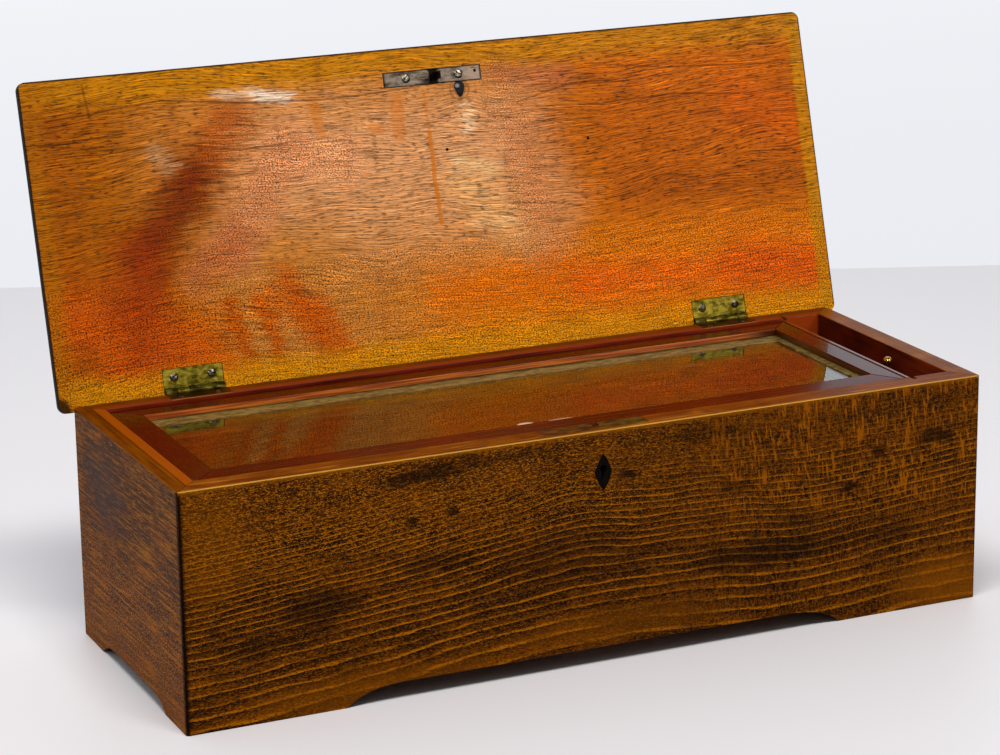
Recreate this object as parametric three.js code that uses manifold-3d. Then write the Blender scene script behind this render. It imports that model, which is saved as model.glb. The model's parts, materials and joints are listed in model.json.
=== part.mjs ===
// A wooden music box with a glazed inner frame and a plain hinged lid, modelled open.
// Millimetres, +Z up. X runs along the front from left to right, and -Y is the front.

import * as THREE from 'three';
import { mergeVertices } from 'three/addons/utils/BufferGeometryUtils.js';
import Module from 'manifold-3d';

const wasm = await Module();
wasm.setup();

// Driving dimensions: the case
const CASE_LENGTH = 460;
const CASE_DEPTH = 167;
const CASE_HEIGHT = 127.5;
const FRONT_THICKNESS = 15;
const BACK_THICKNESS = 12;
const LEFT_END_THICKNESS = 14;
const RIGHT_END_THICKNESS = 12;
const CORNER_RADIUS = 1.6;
const BOTTOM_THICKNESS = 6;
const BOTTOM_CLEARANCE_UNDER = 10.5;

// Driving dimensions: the cut-outs that leave the bracket feet
const FRONT_FOOT_LENGTH = 86;
const FRONT_CUTOUT_HEIGHT = 9;
const FRONT_CUTOUT_SLOPE = 30;
const END_FOOT_LENGTH = 32;
const END_CUTOUT_HEIGHT = 6.5;
const END_CUTOUT_SLOPE = 20;

// Driving dimensions: the partition and the glazed frame
const COMPARTMENT_WIDTH = 21.3;
const PARTITION_THICKNESS = 2.4;
const PARTITION_DROP = 1.2;
const HOUSING_DEPTH = 5;
const FRAME_DROP = 1.5;
const FRAME_THICKNESS = 10.5;
const FRONT_RAIL_WIDTH = 18;
const BACK_RAIL_WIDTH = 13.5;
const LEFT_STILE_WIDTH = 16;
const RIGHT_STILE_WIDTH = 12.2;
const FRAME_CLEARANCE = 0.5;
const GLASS_THICKNESS = 2;
const GLASS_DROP = 4;
const GLASS_GROOVE = 5;
const BATTEN_WIDTH = 9;
const BATTEN_HEIGHT = 8;

// Driving dimensions: the lid and its hinges
const LID_THICKNESS = 7;
const LID_END_OVERHANG = 7.3;
const LID_FRONT_OVERHANG = 5;
const LID_BACK_OVERHANG = 5.5;
const LID_CORNER_RADIUS = 4.5;
const LID_EDGE_RADIUS = 3;
const LID_CLOSED_GAP = 0.4;
const LID_OPEN_DEGREES = 106;
const HINGE_LENGTH = 34;
const HINGE_END_SETBACK = 52;
const HINGE_REACH = 12.8;
const HINGE_LEAF_THICKNESS = 1.4;
const HINGE_PIN_SETBACK = 1.8;
const BARREL_RADIUS = 2.3;
const PIN_RADIUS = 1.1;
const KNUCKLES = 5;

// Driving dimensions: the lock, the strike plate and the escutcheon
const LOCK_LENGTH = 59;
const LOCK_CENTRE = 0.6;
const LOCK_FRONT_SETBACK = 4;
const SELVEDGE_THICKNESS = 1.5;
const LOCK_BODY_LENGTH = 46;
const LOCK_BODY_DEPTH = 7;
const LOCK_BODY_HEIGHT = 34;
const STAPLE_CENTRE = 2.6;
const STAPLE_THICKNESS = 2.2;
const STAPLE_SETBACK = 2.6;
const STAPLE_WIDTH = 4.2;
const STAPLE_REACH = 10.5;
const STAPLE_EYE_RADIUS = 1;
const STAPLE_CLEARANCE = 0.8;
const STRIKE_LENGTH = 59;
const STRIKE_WIDTH = 8.2;
const STRIKE_THICKNESS = 1.4;
const STRIKE_SCREW_SPACING = 32;
const ESCUTCHEON_CENTRE = 1.8;
const ESCUTCHEON_DROP = 22.5;
const ESCUTCHEON_WIDTH = 9.6;
const ESCUTCHEON_HEIGHT = 19;
const ESCUTCHEON_THICKNESS = 2.2;
const KEYHOLE_RADIUS = 1.9;
const KEYHOLE_SLOT_WIDTH = 1.8;
const KEYHOLE_SLOT_LENGTH = 6.5;

// Driving dimensions: screws
const HINGE_SCREW_HEAD_RADIUS = 2.1;
const STRIKE_SCREW_HEAD_RADIUS = 2.3;
const SCREW_SHANK_RADIUS = 0.9;
const SCREW_LENGTH = 5.5;
const SCREW_HEAD_DEPTH = 1.1;
const SCREW_SLOT_WIDTH = 0.5;
const SCREW_SLOT_DEPTH = 0.5;
const HINGE_SCREW_SPACING = 21.4;
const SCREW_SIDES = 16;

// Driving dimensions: the control lever in the right compartment
const LEVER_SETBACK = 59;
const LEVER_BAR_WIDTH = 6;
const LEVER_BAR_THICKNESS = 2;
const LEVER_TOP_DROP = 9.5;
const LEVER_NECK_RADIUS = 1.4;
const LEVER_NECK_LENGTH = 3.4;
const LEVER_BALL_RADIUS = 2.7;
const LEVER_TENON_RADIUS = 0.8;
const LEVER_TENON_LENGTH = 4.2;
const BRACKET_LENGTH = 16;
const BRACKET_HEIGHT = 14;
const BRACKET_EAR_THICKNESS = 1.8;
const BRACKET_FOOT_THICKNESS = 2;
const LEVER_PIN_RADIUS = 1.4;
const LEVER_PIN_HEIGHT = 9;

// Clearances between pieces
const GAP = 0.3;
const RUNNING_GAP = 0.08;
const KNUCKLE_GAP = 0.15;

const left = -CASE_LENGTH / 2;
const right = CASE_LENGTH / 2;
const front = -CASE_DEPTH / 2;
const back = CASE_DEPTH / 2;
const innerLeft = left + LEFT_END_THICKNESS;
const innerRight = right - RIGHT_END_THICKNESS;
const innerFront = front + FRONT_THICKNESS;
const innerBack = back - BACK_THICKNESS;
const top = CASE_HEIGHT;
const floorTop = BOTTOM_CLEARANCE_UNDER + BOTTOM_THICKNESS;

// Materials, one for each kind of surface
const material = (color, roughness, metalness = 0) =>
  new THREE.MeshStandardMaterial({ color, roughness, metalness });
const darkOak = material(0x6b3f18, 0.55);
const endWood = material(0x5b4232, 0.5);
const mahogany = material(0xb5601e, 0.35);
const frameMahogany = material(0x6a1c0c, 0.25);
const plainDeal = material(0x8a6238, 0.7);
const glass = new THREE.MeshStandardMaterial({
  color: 0xdfe6dc,
  roughness: 0.05,
  metalness: 0,
  transparent: true,
  opacity: 0.3,
});
const agedBrass = material(0x8f8a3c, 0.4, 1);
const polishedBrass = material(0xc9a64a, 0.25, 1);
const strikeSteel = material(0x7c705c, 0.4, 1);
const screwSteel = material(0xb8b4aa, 0.3, 1);
const ebony = material(0x14100c, 0.4);

// Solids: a closed three.js geometry turned into a body that can be joined and cut
function solid(geometry) {
  const bare = geometry.index ? geometry.toNonIndexed() : geometry.clone();
  bare.deleteAttribute('normal');
  bare.deleteAttribute('uv');
  const merged = mergeVertices(bare, 1e-4);
  return new wasm.Manifold(
    new wasm.Mesh({
      numProp: 3,
      vertProperties: new Float32Array(merged.attributes.position.array),
      triVerts: new Uint32Array(merged.index.array),
    }),
  );
}

function geometryOf(body) {
  const { vertProperties, triVerts, numProp } = body.getMesh();
  const positions = new Float32Array((vertProperties.length / numProp) * 3);
  for (let i = 0; i < positions.length / 3; i += 1) {
    for (let axis = 0; axis < 3; axis += 1) {
      positions[i * 3 + axis] = vertProperties[i * numProp + axis];
    }
  }
  const geometry = new THREE.BufferGeometry();
  geometry.setAttribute('position', new THREE.BufferAttribute(positions, 3));
  geometry.setIndex(new THREE.BufferAttribute(new Uint32Array(triVerts), 1));
  geometry.computeVertexNormals();
  return geometry;
}

function piece(name, body, look) {
  const mesh = new THREE.Mesh(geometryOf(body), look);
  mesh.name = name;
  return mesh;
}

// A rectangular block between two corners
function block(low, high) {
  const size = high.map((value, axis) => value - low[axis]);
  const geometry = new THREE.BoxGeometry(...size);
  geometry.translate(...low.map((value, axis) => value + size[axis] / 2));
  return solid(geometry);
}

// A plan outline of [x, y] corners raised from one level to another
function raised(corners, bottomZ, topZ) {
  const shape = new THREE.Shape(corners.map(([x, y]) => new THREE.Vector2(x, y)));
  const geometry = new THREE.ExtrudeGeometry(shape, { depth: topZ - bottomZ, bevelEnabled: false });
  geometry.translate(0, 0, bottomZ);
  return solid(geometry);
}

// A rectangle in plan with round corners
function roundedPlan(lowX, highX, lowY, highY, radius) {
  const shape = new THREE.Shape();
  shape.moveTo(lowX + radius, lowY);
  shape.absarc(highX - radius, lowY + radius, radius, -Math.PI / 2, 0, false);
  shape.absarc(highX - radius, highY - radius, radius, 0, Math.PI / 2, false);
  shape.absarc(lowX + radius, highY - radius, radius, Math.PI / 2, Math.PI, false);
  shape.absarc(lowX + radius, lowY + radius, radius, Math.PI, Math.PI * 1.5, false);
  return shape;
}

// A shape drawn in a vertical plane and pushed through along Y or X
function throughY(shape, fromY, toY, curveSegments = 10) {
  const geometry = new THREE.ExtrudeGeometry(shape, {
    depth: toY - fromY,
    bevelEnabled: false,
    curveSegments,
  });
  geometry.rotateX(Math.PI / 2);
  geometry.translate(0, toY, 0);
  return solid(geometry);
}

function throughX(shape, fromX, toX, curveSegments = 10) {
  const geometry = new THREE.ExtrudeGeometry(shape, {
    depth: toX - fromX,
    bevelEnabled: false,
    curveSegments,
  });
  geometry.rotateX(Math.PI / 2);
  geometry.rotateZ(Math.PI / 2);
  geometry.translate(fromX, 0, 0);
  return solid(geometry);
}

// A cylinder lying along X
function rodX(radius, fromX, toX, y, z, sides = 20) {
  const geometry = new THREE.CylinderGeometry(radius, radius, toX - fromX, sides);
  geometry.rotateZ(Math.PI / 2);
  geometry.translate((fromX + toX) / 2, y, z);
  return solid(geometry);
}

// The side view of a board: level on top, with a cut-out between two bracket feet below
function footedProfile(half, height, footLength, cutHeight, slope) {
  const reach = half - footLength;
  const shape = new THREE.Shape();
  shape.moveTo(-half, 0);
  shape.lineTo(-reach, 0);
  shape.quadraticCurveTo(-reach + slope * 0.36, cutHeight, -reach + slope, cutHeight);
  shape.lineTo(reach - slope, cutHeight);
  shape.quadraticCurveTo(reach - slope * 0.36, cutHeight, reach, 0);
  shape.lineTo(half, 0);
  shape.lineTo(half, height);
  shape.lineTo(-half, height);
  shape.closePath();
  return shape;
}

// The four sides meet in mitres, each drawn back by half a gap, and the corners are eased
const mitreRelief = GAP * Math.SQRT1_2;
const easedCorners = solid(
  new THREE.ExtrudeGeometry(roundedPlan(left, right, front, back, CORNER_RADIUS), {
    depth: top,
    bevelEnabled: false,
    curveSegments: 4,
  }),
);
const longProfile = footedProfile(
  CASE_LENGTH / 2,
  CASE_HEIGHT,
  FRONT_FOOT_LENGTH,
  FRONT_CUTOUT_HEIGHT,
  FRONT_CUTOUT_SLOPE,
);
const endProfile = footedProfile(
  CASE_DEPTH / 2,
  CASE_HEIGHT,
  END_FOOT_LENGTH,
  END_CUTOUT_HEIGHT,
  END_CUTOUT_SLOPE,
);

function longBoard(outerY, innerY) {
  const plan = raised(
    outerY < innerY
      ? [
          [left + mitreRelief, outerY],
          [right - mitreRelief, outerY],
          [innerRight - mitreRelief, innerY],
          [innerLeft + mitreRelief, innerY],
        ]
      : [
          [innerLeft + mitreRelief, innerY],
          [innerRight - mitreRelief, innerY],
          [right - mitreRelief, outerY],
          [left + mitreRelief, outerY],
        ],
    0,
    top,
  );
  return plan.intersect(throughY(longProfile, front, back)).intersect(easedCorners);
}

function endBoard(outerX, innerX) {
  const onLeft = outerX < innerX;
  const plan = raised(
    onLeft
      ? [
          [outerX, front + mitreRelief],
          [innerX, innerFront + mitreRelief],
          [innerX, innerBack - mitreRelief],
          [outerX, back - mitreRelief],
        ]
      : [
          [outerX, front + mitreRelief],
          [outerX, back - mitreRelief],
          [innerX, innerBack - mitreRelief],
          [innerX, innerFront + mitreRelief],
        ],
    0,
    top,
  );
  return plan.intersect(throughX(endProfile, left, right)).intersect(easedCorners);
}

// The partition stands in housings cut into the front and back boards
const partitionRight = innerRight - COMPARTMENT_WIDTH;
const partitionLeft = partitionRight - PARTITION_THICKNESS;
const partitionHousing = block(
  [partitionLeft - GAP, innerFront - HOUSING_DEPTH, floorTop],
  [partitionRight + GAP, innerBack + HOUSING_DEPTH, top + 1],
);
const partition = block(
  [partitionLeft, innerFront - HOUSING_DEPTH + GAP, floorTop + GAP],
  [partitionRight, innerBack + HOUSING_DEPTH - GAP, top - PARTITION_DROP],
);

// The lock sits in a mortise open at the front board's top edge and inner face
const selvedgeFront = front + LOCK_FRONT_SETBACK;
const lockLow = LOCK_CENTRE - LOCK_LENGTH / 2;
const lockHigh = LOCK_CENTRE + LOCK_LENGTH / 2;
const bodyLow = LOCK_CENTRE - LOCK_BODY_LENGTH / 2;
const bodyHigh = LOCK_CENTRE + LOCK_BODY_LENGTH / 2;
const bodyFront = innerFront - LOCK_BODY_DEPTH;
const lockMortise = block(
  [lockLow - GAP, selvedgeFront - GAP, top - SELVEDGE_THICKNESS - GAP],
  [lockHigh + GAP, innerFront + 1, top + 1],
).add(
  block(
    [bodyLow - GAP, bodyFront - GAP, top - LOCK_BODY_HEIGHT - GAP],
    [bodyHigh + GAP, innerFront + 1, top + 1],
  ),
);

// The staple of the strike plate drops through a slot in the selvedge into the hollow lock body
const stapleY = innerFront - STAPLE_SETBACK;
const stapleSlot = block(
  [
    STAPLE_CENTRE - STAPLE_THICKNESS / 2 - STAPLE_CLEARANCE,
    stapleY - STAPLE_WIDTH / 2 - STAPLE_CLEARANCE,
    top - STAPLE_REACH - 2 * STAPLE_CLEARANCE,
  ],
  [
    STAPLE_CENTRE + STAPLE_THICKNESS / 2 + STAPLE_CLEARANCE,
    innerFront + 1,
    top + 1,
  ],
);

// The keyhole: a round eye with a slot below it, drawn about its own centre
function keyholeShape(grow = 0) {
  const radius = KEYHOLE_RADIUS + grow;
  const halfSlot = KEYHOLE_SLOT_WIDTH / 2 + grow;
  const startAngle = -Math.PI / 2 + Math.asin(halfSlot / radius);
  const endAngle = Math.PI * 1.5 - Math.asin(halfSlot / radius);
  const shape = new THREE.Shape();
  shape.moveTo(halfSlot, -KEYHOLE_SLOT_LENGTH);
  shape.absarc(0, 0, radius, startAngle, endAngle, false);
  shape.lineTo(-halfSlot, -KEYHOLE_SLOT_LENGTH);
  shape.closePath();
  return shape;
}

const escutcheonZ = top - ESCUTCHEON_DROP;
const keyholeZ = escutcheonZ + KEYHOLE_SLOT_LENGTH * 0.3;
const keyholeCut = throughY(keyholeShape(), front - 1, bodyFront + LOCK_BODY_DEPTH / 2, 8).translate(
  ESCUTCHEON_CENTRE,
  0,
  keyholeZ,
);

function lozenge(grow) {
  const halfWidth = ESCUTCHEON_WIDTH / 2 + grow;
  const halfHeight = ESCUTCHEON_HEIGHT / 2 + grow * 1.6;
  const bow = 0.16;
  const shape = new THREE.Shape();
  shape.moveTo(0, -halfHeight);
  shape.quadraticCurveTo(halfWidth * (0.5 + bow), -halfHeight * (0.5 + bow / 2), halfWidth, 0);
  shape.quadraticCurveTo(halfWidth * (0.5 + bow), halfHeight * (0.5 + bow / 2), 0, halfHeight);
  shape.quadraticCurveTo(-halfWidth * (0.5 + bow), halfHeight * (0.5 + bow / 2), -halfWidth, 0);
  shape.quadraticCurveTo(-halfWidth * (0.5 + bow), -halfHeight * (0.5 + bow / 2), 0, -halfHeight);
  return shape;
}

const lozengeSeat = throughY(lozenge(GAP), front - 1, front + ESCUTCHEON_THICKNESS + GAP, 6).translate(
  ESCUTCHEON_CENTRE,
  0,
  escutcheonZ,
);
const escutcheon = throughY(lozenge(0), front, front + ESCUTCHEON_THICKNESS, 6)
  .translate(ESCUTCHEON_CENTRE, 0, escutcheonZ)
  .subtract(keyholeCut);

const lock = block([lockLow, selvedgeFront, top - SELVEDGE_THICKNESS], [lockHigh, innerFront, top])
  .add(block([bodyLow, bodyFront, top - LOCK_BODY_HEIGHT], [bodyHigh, innerFront, top - 0.5]))
  .subtract(stapleSlot)
  .subtract(keyholeCut);

// Screws: a countersunk slotted head on a plain shank, the head's face at z = 0, pointing down
function screwBody(headRadius) {
  const outline = [
    [0, -SCREW_LENGTH],
    [SCREW_SHANK_RADIUS * 0.6, -SCREW_LENGTH],
    [SCREW_SHANK_RADIUS, -SCREW_LENGTH * 0.7],
    [SCREW_SHANK_RADIUS, -SCREW_HEAD_DEPTH - 0.3],
    [headRadius, -0.15],
    [headRadius * 0.86, 0.12],
    [0, 0.2],
  ];
  const points = outline.map(([radius, height]) => new THREE.Vector2(radius, height));
  const geometry = new THREE.LatheGeometry(points, SCREW_SIDES);
  geometry.rotateX(Math.PI / 2);
  const slot = block(
    [-headRadius - 1, -SCREW_SLOT_WIDTH / 2, -SCREW_SLOT_DEPTH],
    [headRadius + 1, SCREW_SLOT_WIDTH / 2, 1],
  );
  return solid(geometry).subtract(slot);
}

// The hole for a screw, a gap larger than the screw all round
function screwHole(headRadius) {
  const outline = [
    [0, -SCREW_LENGTH - GAP],
    [SCREW_SHANK_RADIUS + GAP, -SCREW_LENGTH - GAP],
    [SCREW_SHANK_RADIUS + GAP, -SCREW_HEAD_DEPTH - 0.3],
    [headRadius + GAP, -0.15],
    [headRadius + GAP, 2],
    [0, 2],
  ];
  const points = outline.map(([radius, height]) => new THREE.Vector2(radius, height));
  const geometry = new THREE.LatheGeometry(points, SCREW_SIDES);
  geometry.rotateX(Math.PI / 2);
  return solid(geometry);
}

const hingeScrew = screwBody(HINGE_SCREW_HEAD_RADIUS);
const hingeScrewHole = screwHole(HINGE_SCREW_HEAD_RADIUS);
const strikeScrew = screwBody(STRIKE_SCREW_HEAD_RADIUS);
const strikeScrewHole = screwHole(STRIKE_SCREW_HEAD_RADIUS);

// The lid and its hardware are drawn closed and turn about the hinge pins
const pinY = back + HINGE_PIN_SETBACK;
const pinZ = top + LID_CLOSED_GAP / 2;
const lidBottom = top + LID_CLOSED_GAP;
const lidTop = lidBottom + LID_THICKNESS;
const leafEdgeY = pinY - HINGE_REACH;
const hinges = [
  { side: 'left', low: left + HINGE_END_SETBACK },
  { side: 'right', low: right - HINGE_END_SETBACK - HINGE_LENGTH },
].map(({ side, low }) => ({ side, low, high: low + HINGE_LENGTH }));
const knuckleLength = HINGE_LENGTH / KNUCKLES;
const hingeScrewY = leafEdgeY + (HINGE_REACH - BARREL_RADIUS) / 2 - 0.3;

const knuckleSpan = (low, index) => [
  low + index * knuckleLength + (index === 0 ? 0 : KNUCKLE_GAP),
  low + (index + 1) * knuckleLength - (index === KNUCKLES - 1 ? 0 : KNUCKLE_GAP),
];
const screwXs = (low, high, spacing) => {
  const middle = (low + high) / 2;
  return [middle - spacing / 2, middle + spacing / 2];
};

// One leaf of a butt hinge. The case leaf has the odd knuckles and the pin, the lid leaf the others.
function hingeLeaf({ low, high }, onCase) {
  const [leafLow, leafHigh] = onCase
    ? [top - HINGE_LEAF_THICKNESS, top]
    : [lidBottom, lidBottom + HINGE_LEAF_THICKNESS];
  let body = block([low, leafEdgeY, leafLow], [high, pinY, leafHigh]);
  const clearance = BARREL_RADIUS + GAP;
  for (let index = 0; index < KNUCKLES; index += 1) {
    const ownKnuckle = (index % 2 === 0) === onCase;
    const [start, end] = knuckleSpan(low, index);
    if (!ownKnuckle) {
      const window = rodX(clearance, start - 2 * KNUCKLE_GAP, end + 2 * KNUCKLE_GAP, pinY, pinZ);
      body = body.subtract(window);
    }
  }
  for (let index = 0; index < KNUCKLES; index += 1) {
    const ownKnuckle = (index % 2 === 0) === onCase;
    const [start, end] = knuckleSpan(low, index);
    if (ownKnuckle) body = body.add(rodX(BARREL_RADIUS, start, end, pinY, pinZ));
  }
  body = onCase
    ? body.add(rodX(PIN_RADIUS, low, high, pinY, pinZ, 12))
    : body.subtract(rodX(PIN_RADIUS + RUNNING_GAP, low - 1, high + 1, pinY, pinZ, 12));
  return body;
}

// The seat cut for a leaf and for the barrel, in the case or in the lid
function hingeSeat({ low, high }, onCase) {
  const [seatLow, seatHigh] = onCase
    ? [top - HINGE_LEAF_THICKNESS - GAP, top + 1]
    : [lidBottom - 1, lidBottom + HINGE_LEAF_THICKNESS + GAP];
  const barrelSeat = rodX(BARREL_RADIUS + 2 * GAP, low - GAP, high + GAP, pinY, pinZ);
  return block([low - GAP, leafEdgeY - GAP, seatLow], [high + GAP, pinY, seatHigh]).add(barrelSeat);
}

function drilled(body, hole, xs, y, z, facing) {
  let result = body;
  for (const x of xs) {
    const cutter = facing > 0 ? hole : hole.rotate([180, 0, 0]);
    result = result.subtract(cutter.translate(x, y, z));
  }
  return result;
}

// The four sides of the case
let frontBoard = longBoard(front, innerFront).subtract(partitionHousing).subtract(lockMortise);
frontBoard = frontBoard.subtract(lozengeSeat).subtract(keyholeCut);
let backBoard = longBoard(back, innerBack).subtract(partitionHousing);
for (const hinge of hinges) {
  const xs = screwXs(hinge.low, hinge.high, HINGE_SCREW_SPACING);
  backBoard = backBoard.subtract(hingeSeat(hinge, true));
  backBoard = drilled(backBoard, hingeScrewHole, xs, hingeScrewY, top - 0.25, 1);
}
const leftEnd = endBoard(left, innerLeft);
const rightEnd = endBoard(right, innerRight);
const bottomBoard = block(
  [innerLeft + GAP, innerFront + GAP, BOTTOM_CLEARANCE_UNDER],
  [innerRight - GAP, innerBack - GAP, floorTop],
);

// The glazed frame lies on two battens between the left end and the partition
const frameTop = top - FRAME_DROP;
const frameBottom = frameTop - FRAME_THICKNESS;
const frameLeft = innerLeft + FRAME_CLEARANCE;
const frameRight = partitionLeft - FRAME_CLEARANCE;
const frameFront = innerFront + FRAME_CLEARANCE;
const frameBack = innerBack - FRAME_CLEARANCE;
const openingLeft = frameLeft + LEFT_STILE_WIDTH;
const openingRight = frameRight - RIGHT_STILE_WIDTH;
const openingFront = frameFront + FRONT_RAIL_WIDTH;
const openingBack = frameBack - BACK_RAIL_WIDTH;
const glassTop = frameTop - GLASS_DROP;
const glassLow = [openingLeft - GLASS_GROOVE, openingFront - GLASS_GROOVE, glassTop - GLASS_THICKNESS];
const glassHigh = [openingRight + GLASS_GROOVE, openingBack + GLASS_GROOVE, glassTop];
const glassPane = block(glassLow, glassHigh);
const glassGroove = block(
  glassLow.map((value) => value - GAP),
  glassHigh.map((value) => value + GAP),
);

function frameMember(corners) {
  return raised(corners, frameBottom, frameTop).subtract(glassGroove);
}

const frameMembers = {
  frame_front_rail: frameMember([
    [frameLeft + mitreRelief, frameFront],
    [frameRight - mitreRelief, frameFront],
    [openingRight - mitreRelief, openingFront],
    [openingLeft + mitreRelief, openingFront],
  ]),
  frame_back_rail: frameMember([
    [openingLeft + mitreRelief, openingBack],
    [openingRight - mitreRelief, openingBack],
    [frameRight - mitreRelief, frameBack],
    [frameLeft + mitreRelief, frameBack],
  ]),
  frame_left_stile: frameMember([
    [frameLeft, frameFront + mitreRelief],
    [openingLeft, openingFront + mitreRelief],
    [openingLeft, openingBack - mitreRelief],
    [frameLeft, frameBack - mitreRelief],
  ]),
  frame_right_stile: frameMember([
    [openingRight, openingFront + mitreRelief],
    [frameRight, frameFront + mitreRelief],
    [frameRight, frameBack - mitreRelief],
    [openingRight, openingBack - mitreRelief],
  ]),
};

const battenTop = frameBottom - GAP;
const batten = (lowY) =>
  block(
    [innerLeft + GAP, lowY, battenTop - BATTEN_HEIGHT],
    [partitionLeft - GAP, lowY + BATTEN_WIDTH, battenTop],
  );

// The lid board: round corners in plan and a rounded edge on its upper side
function lidSolid() {
  const outline = roundedPlan(
    left - LID_END_OVERHANG + LID_EDGE_RADIUS,
    right + LID_END_OVERHANG - LID_EDGE_RADIUS,
    front - LID_FRONT_OVERHANG + LID_EDGE_RADIUS,
    back + LID_BACK_OVERHANG - LID_EDGE_RADIUS,
    LID_CORNER_RADIUS - LID_EDGE_RADIUS,
  );
  const geometry = new THREE.ExtrudeGeometry(outline, {
    depth: LID_THICKNESS - LID_EDGE_RADIUS,
    bevelEnabled: true,
    bevelThickness: LID_EDGE_RADIUS,
    bevelSize: LID_EDGE_RADIUS,
    bevelSegments: 4,
    curveSegments: 5,
  });
  geometry.translate(0, 0, lidBottom);
  const span = CASE_LENGTH + CASE_DEPTH;
  return solid(geometry).intersect(block([-span, -span, lidBottom], [span, span, lidTop]));
}

const strikeLow = LOCK_CENTRE - STRIKE_LENGTH / 2;
const strikeHigh = LOCK_CENTRE + STRIKE_LENGTH / 2;
const strikeXs = screwXs(strikeLow, strikeHigh, STRIKE_SCREW_SPACING);
const strikeSeat = block(
  [strikeLow - GAP, stapleY - STRIKE_WIDTH / 2 - GAP, lidBottom - 1],
  [strikeHigh + GAP, stapleY + STRIKE_WIDTH / 2 + GAP, lidBottom + STRIKE_THICKNESS + GAP],
);

let lidBoard = lidSolid().subtract(strikeSeat);
lidBoard = drilled(lidBoard, strikeScrewHole, strikeXs, stapleY, lidBottom + 0.25, -1);
for (const hinge of hinges) {
  const xs = screwXs(hinge.low, hinge.high, HINGE_SCREW_SPACING);
  lidBoard = lidBoard.subtract(hingeSeat(hinge, false));
  lidBoard = drilled(lidBoard, hingeScrewHole, xs, hingeScrewY, lidBottom + 0.25, -1);
}

// The strike plate, with its flat staple standing out of it and an eye for the lock's bolt
const stapleTip = lidBottom - STAPLE_REACH;
const staple = block(
  [STAPLE_CENTRE - STAPLE_THICKNESS / 2, stapleY - STAPLE_WIDTH / 2, stapleTip],
  [STAPLE_CENTRE + STAPLE_THICKNESS / 2, stapleY + STAPLE_WIDTH / 2, lidBottom + 0.5],
).subtract(
  rodX(
    STAPLE_EYE_RADIUS,
    STAPLE_CENTRE - STAPLE_THICKNESS,
    STAPLE_CENTRE + STAPLE_THICKNESS,
    stapleY,
    stapleTip + STAPLE_WIDTH / 2,
    12,
  ),
);
let strikePlate = block(
  [strikeLow, stapleY - STRIKE_WIDTH / 2, lidBottom],
  [strikeHigh, stapleY + STRIKE_WIDTH / 2, lidBottom + STRIKE_THICKNESS],
).add(staple);
strikePlate = drilled(strikePlate, strikeScrewHole, strikeXs, stapleY, lidBottom + 0.25, -1);

// The control lever turns on a pin between the two ears of a foot bracket
const leverX = (partitionRight + innerRight) / 2;
const leverY = front + LEVER_SETBACK;
const leverPinZ = floorTop + GAP + LEVER_PIN_HEIGHT;
const leverTop = top - LEVER_TOP_DROP;
const earInner = LEVER_BAR_THICKNESS / 2 + GAP;
const earOuter = earInner + BRACKET_EAR_THICKNESS;
const bracketBottom = floorTop + GAP;
const ear = (low, high) =>
  block(
    [leverX + low, leverY - LEVER_BAR_WIDTH / 2, bracketBottom],
    [leverX + high, leverY + LEVER_BAR_WIDTH / 2, bracketBottom + BRACKET_HEIGHT],
  );
const leverBracket = block(
  [leverX - earOuter, leverY - BRACKET_LENGTH / 2, bracketBottom],
  [leverX + earOuter, leverY + BRACKET_LENGTH / 2, bracketBottom + BRACKET_FOOT_THICKNESS],
)
  .add(ear(-earOuter, -earInner))
  .add(ear(earInner, earOuter))
  .add(rodX(LEVER_PIN_RADIUS, leverX - earOuter, leverX + earOuter, leverY, leverPinZ, 16));

function leverBar() {
  const half = LEVER_BAR_WIDTH / 2;
  const shape = new THREE.Shape();
  shape.moveTo(half, leverPinZ);
  shape.lineTo(half * 0.8, leverTop);
  shape.lineTo(-half * 0.8, leverTop);
  shape.lineTo(-half, leverPinZ);
  shape.absarc(0, leverPinZ, half, Math.PI, Math.PI * 2, false);
  const halfThick = LEVER_BAR_THICKNESS / 2;
  const tenon = new THREE.CylinderGeometry(
    LEVER_TENON_RADIUS,
    LEVER_TENON_RADIUS,
    LEVER_TENON_LENGTH + 1,
    12,
  );
  tenon.rotateX(Math.PI / 2);
  tenon.translate(leverX, leverY, leverTop + (LEVER_TENON_LENGTH - 1) / 2);
  return throughX(shape, leverX - halfThick, leverX + halfThick, 8)
    .translate(0, leverY, 0)
    .add(solid(tenon))
    .subtract(
      rodX(LEVER_PIN_RADIUS + RUNNING_GAP, leverX - earOuter, leverX + earOuter, leverY, leverPinZ, 16),
    );
}

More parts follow.
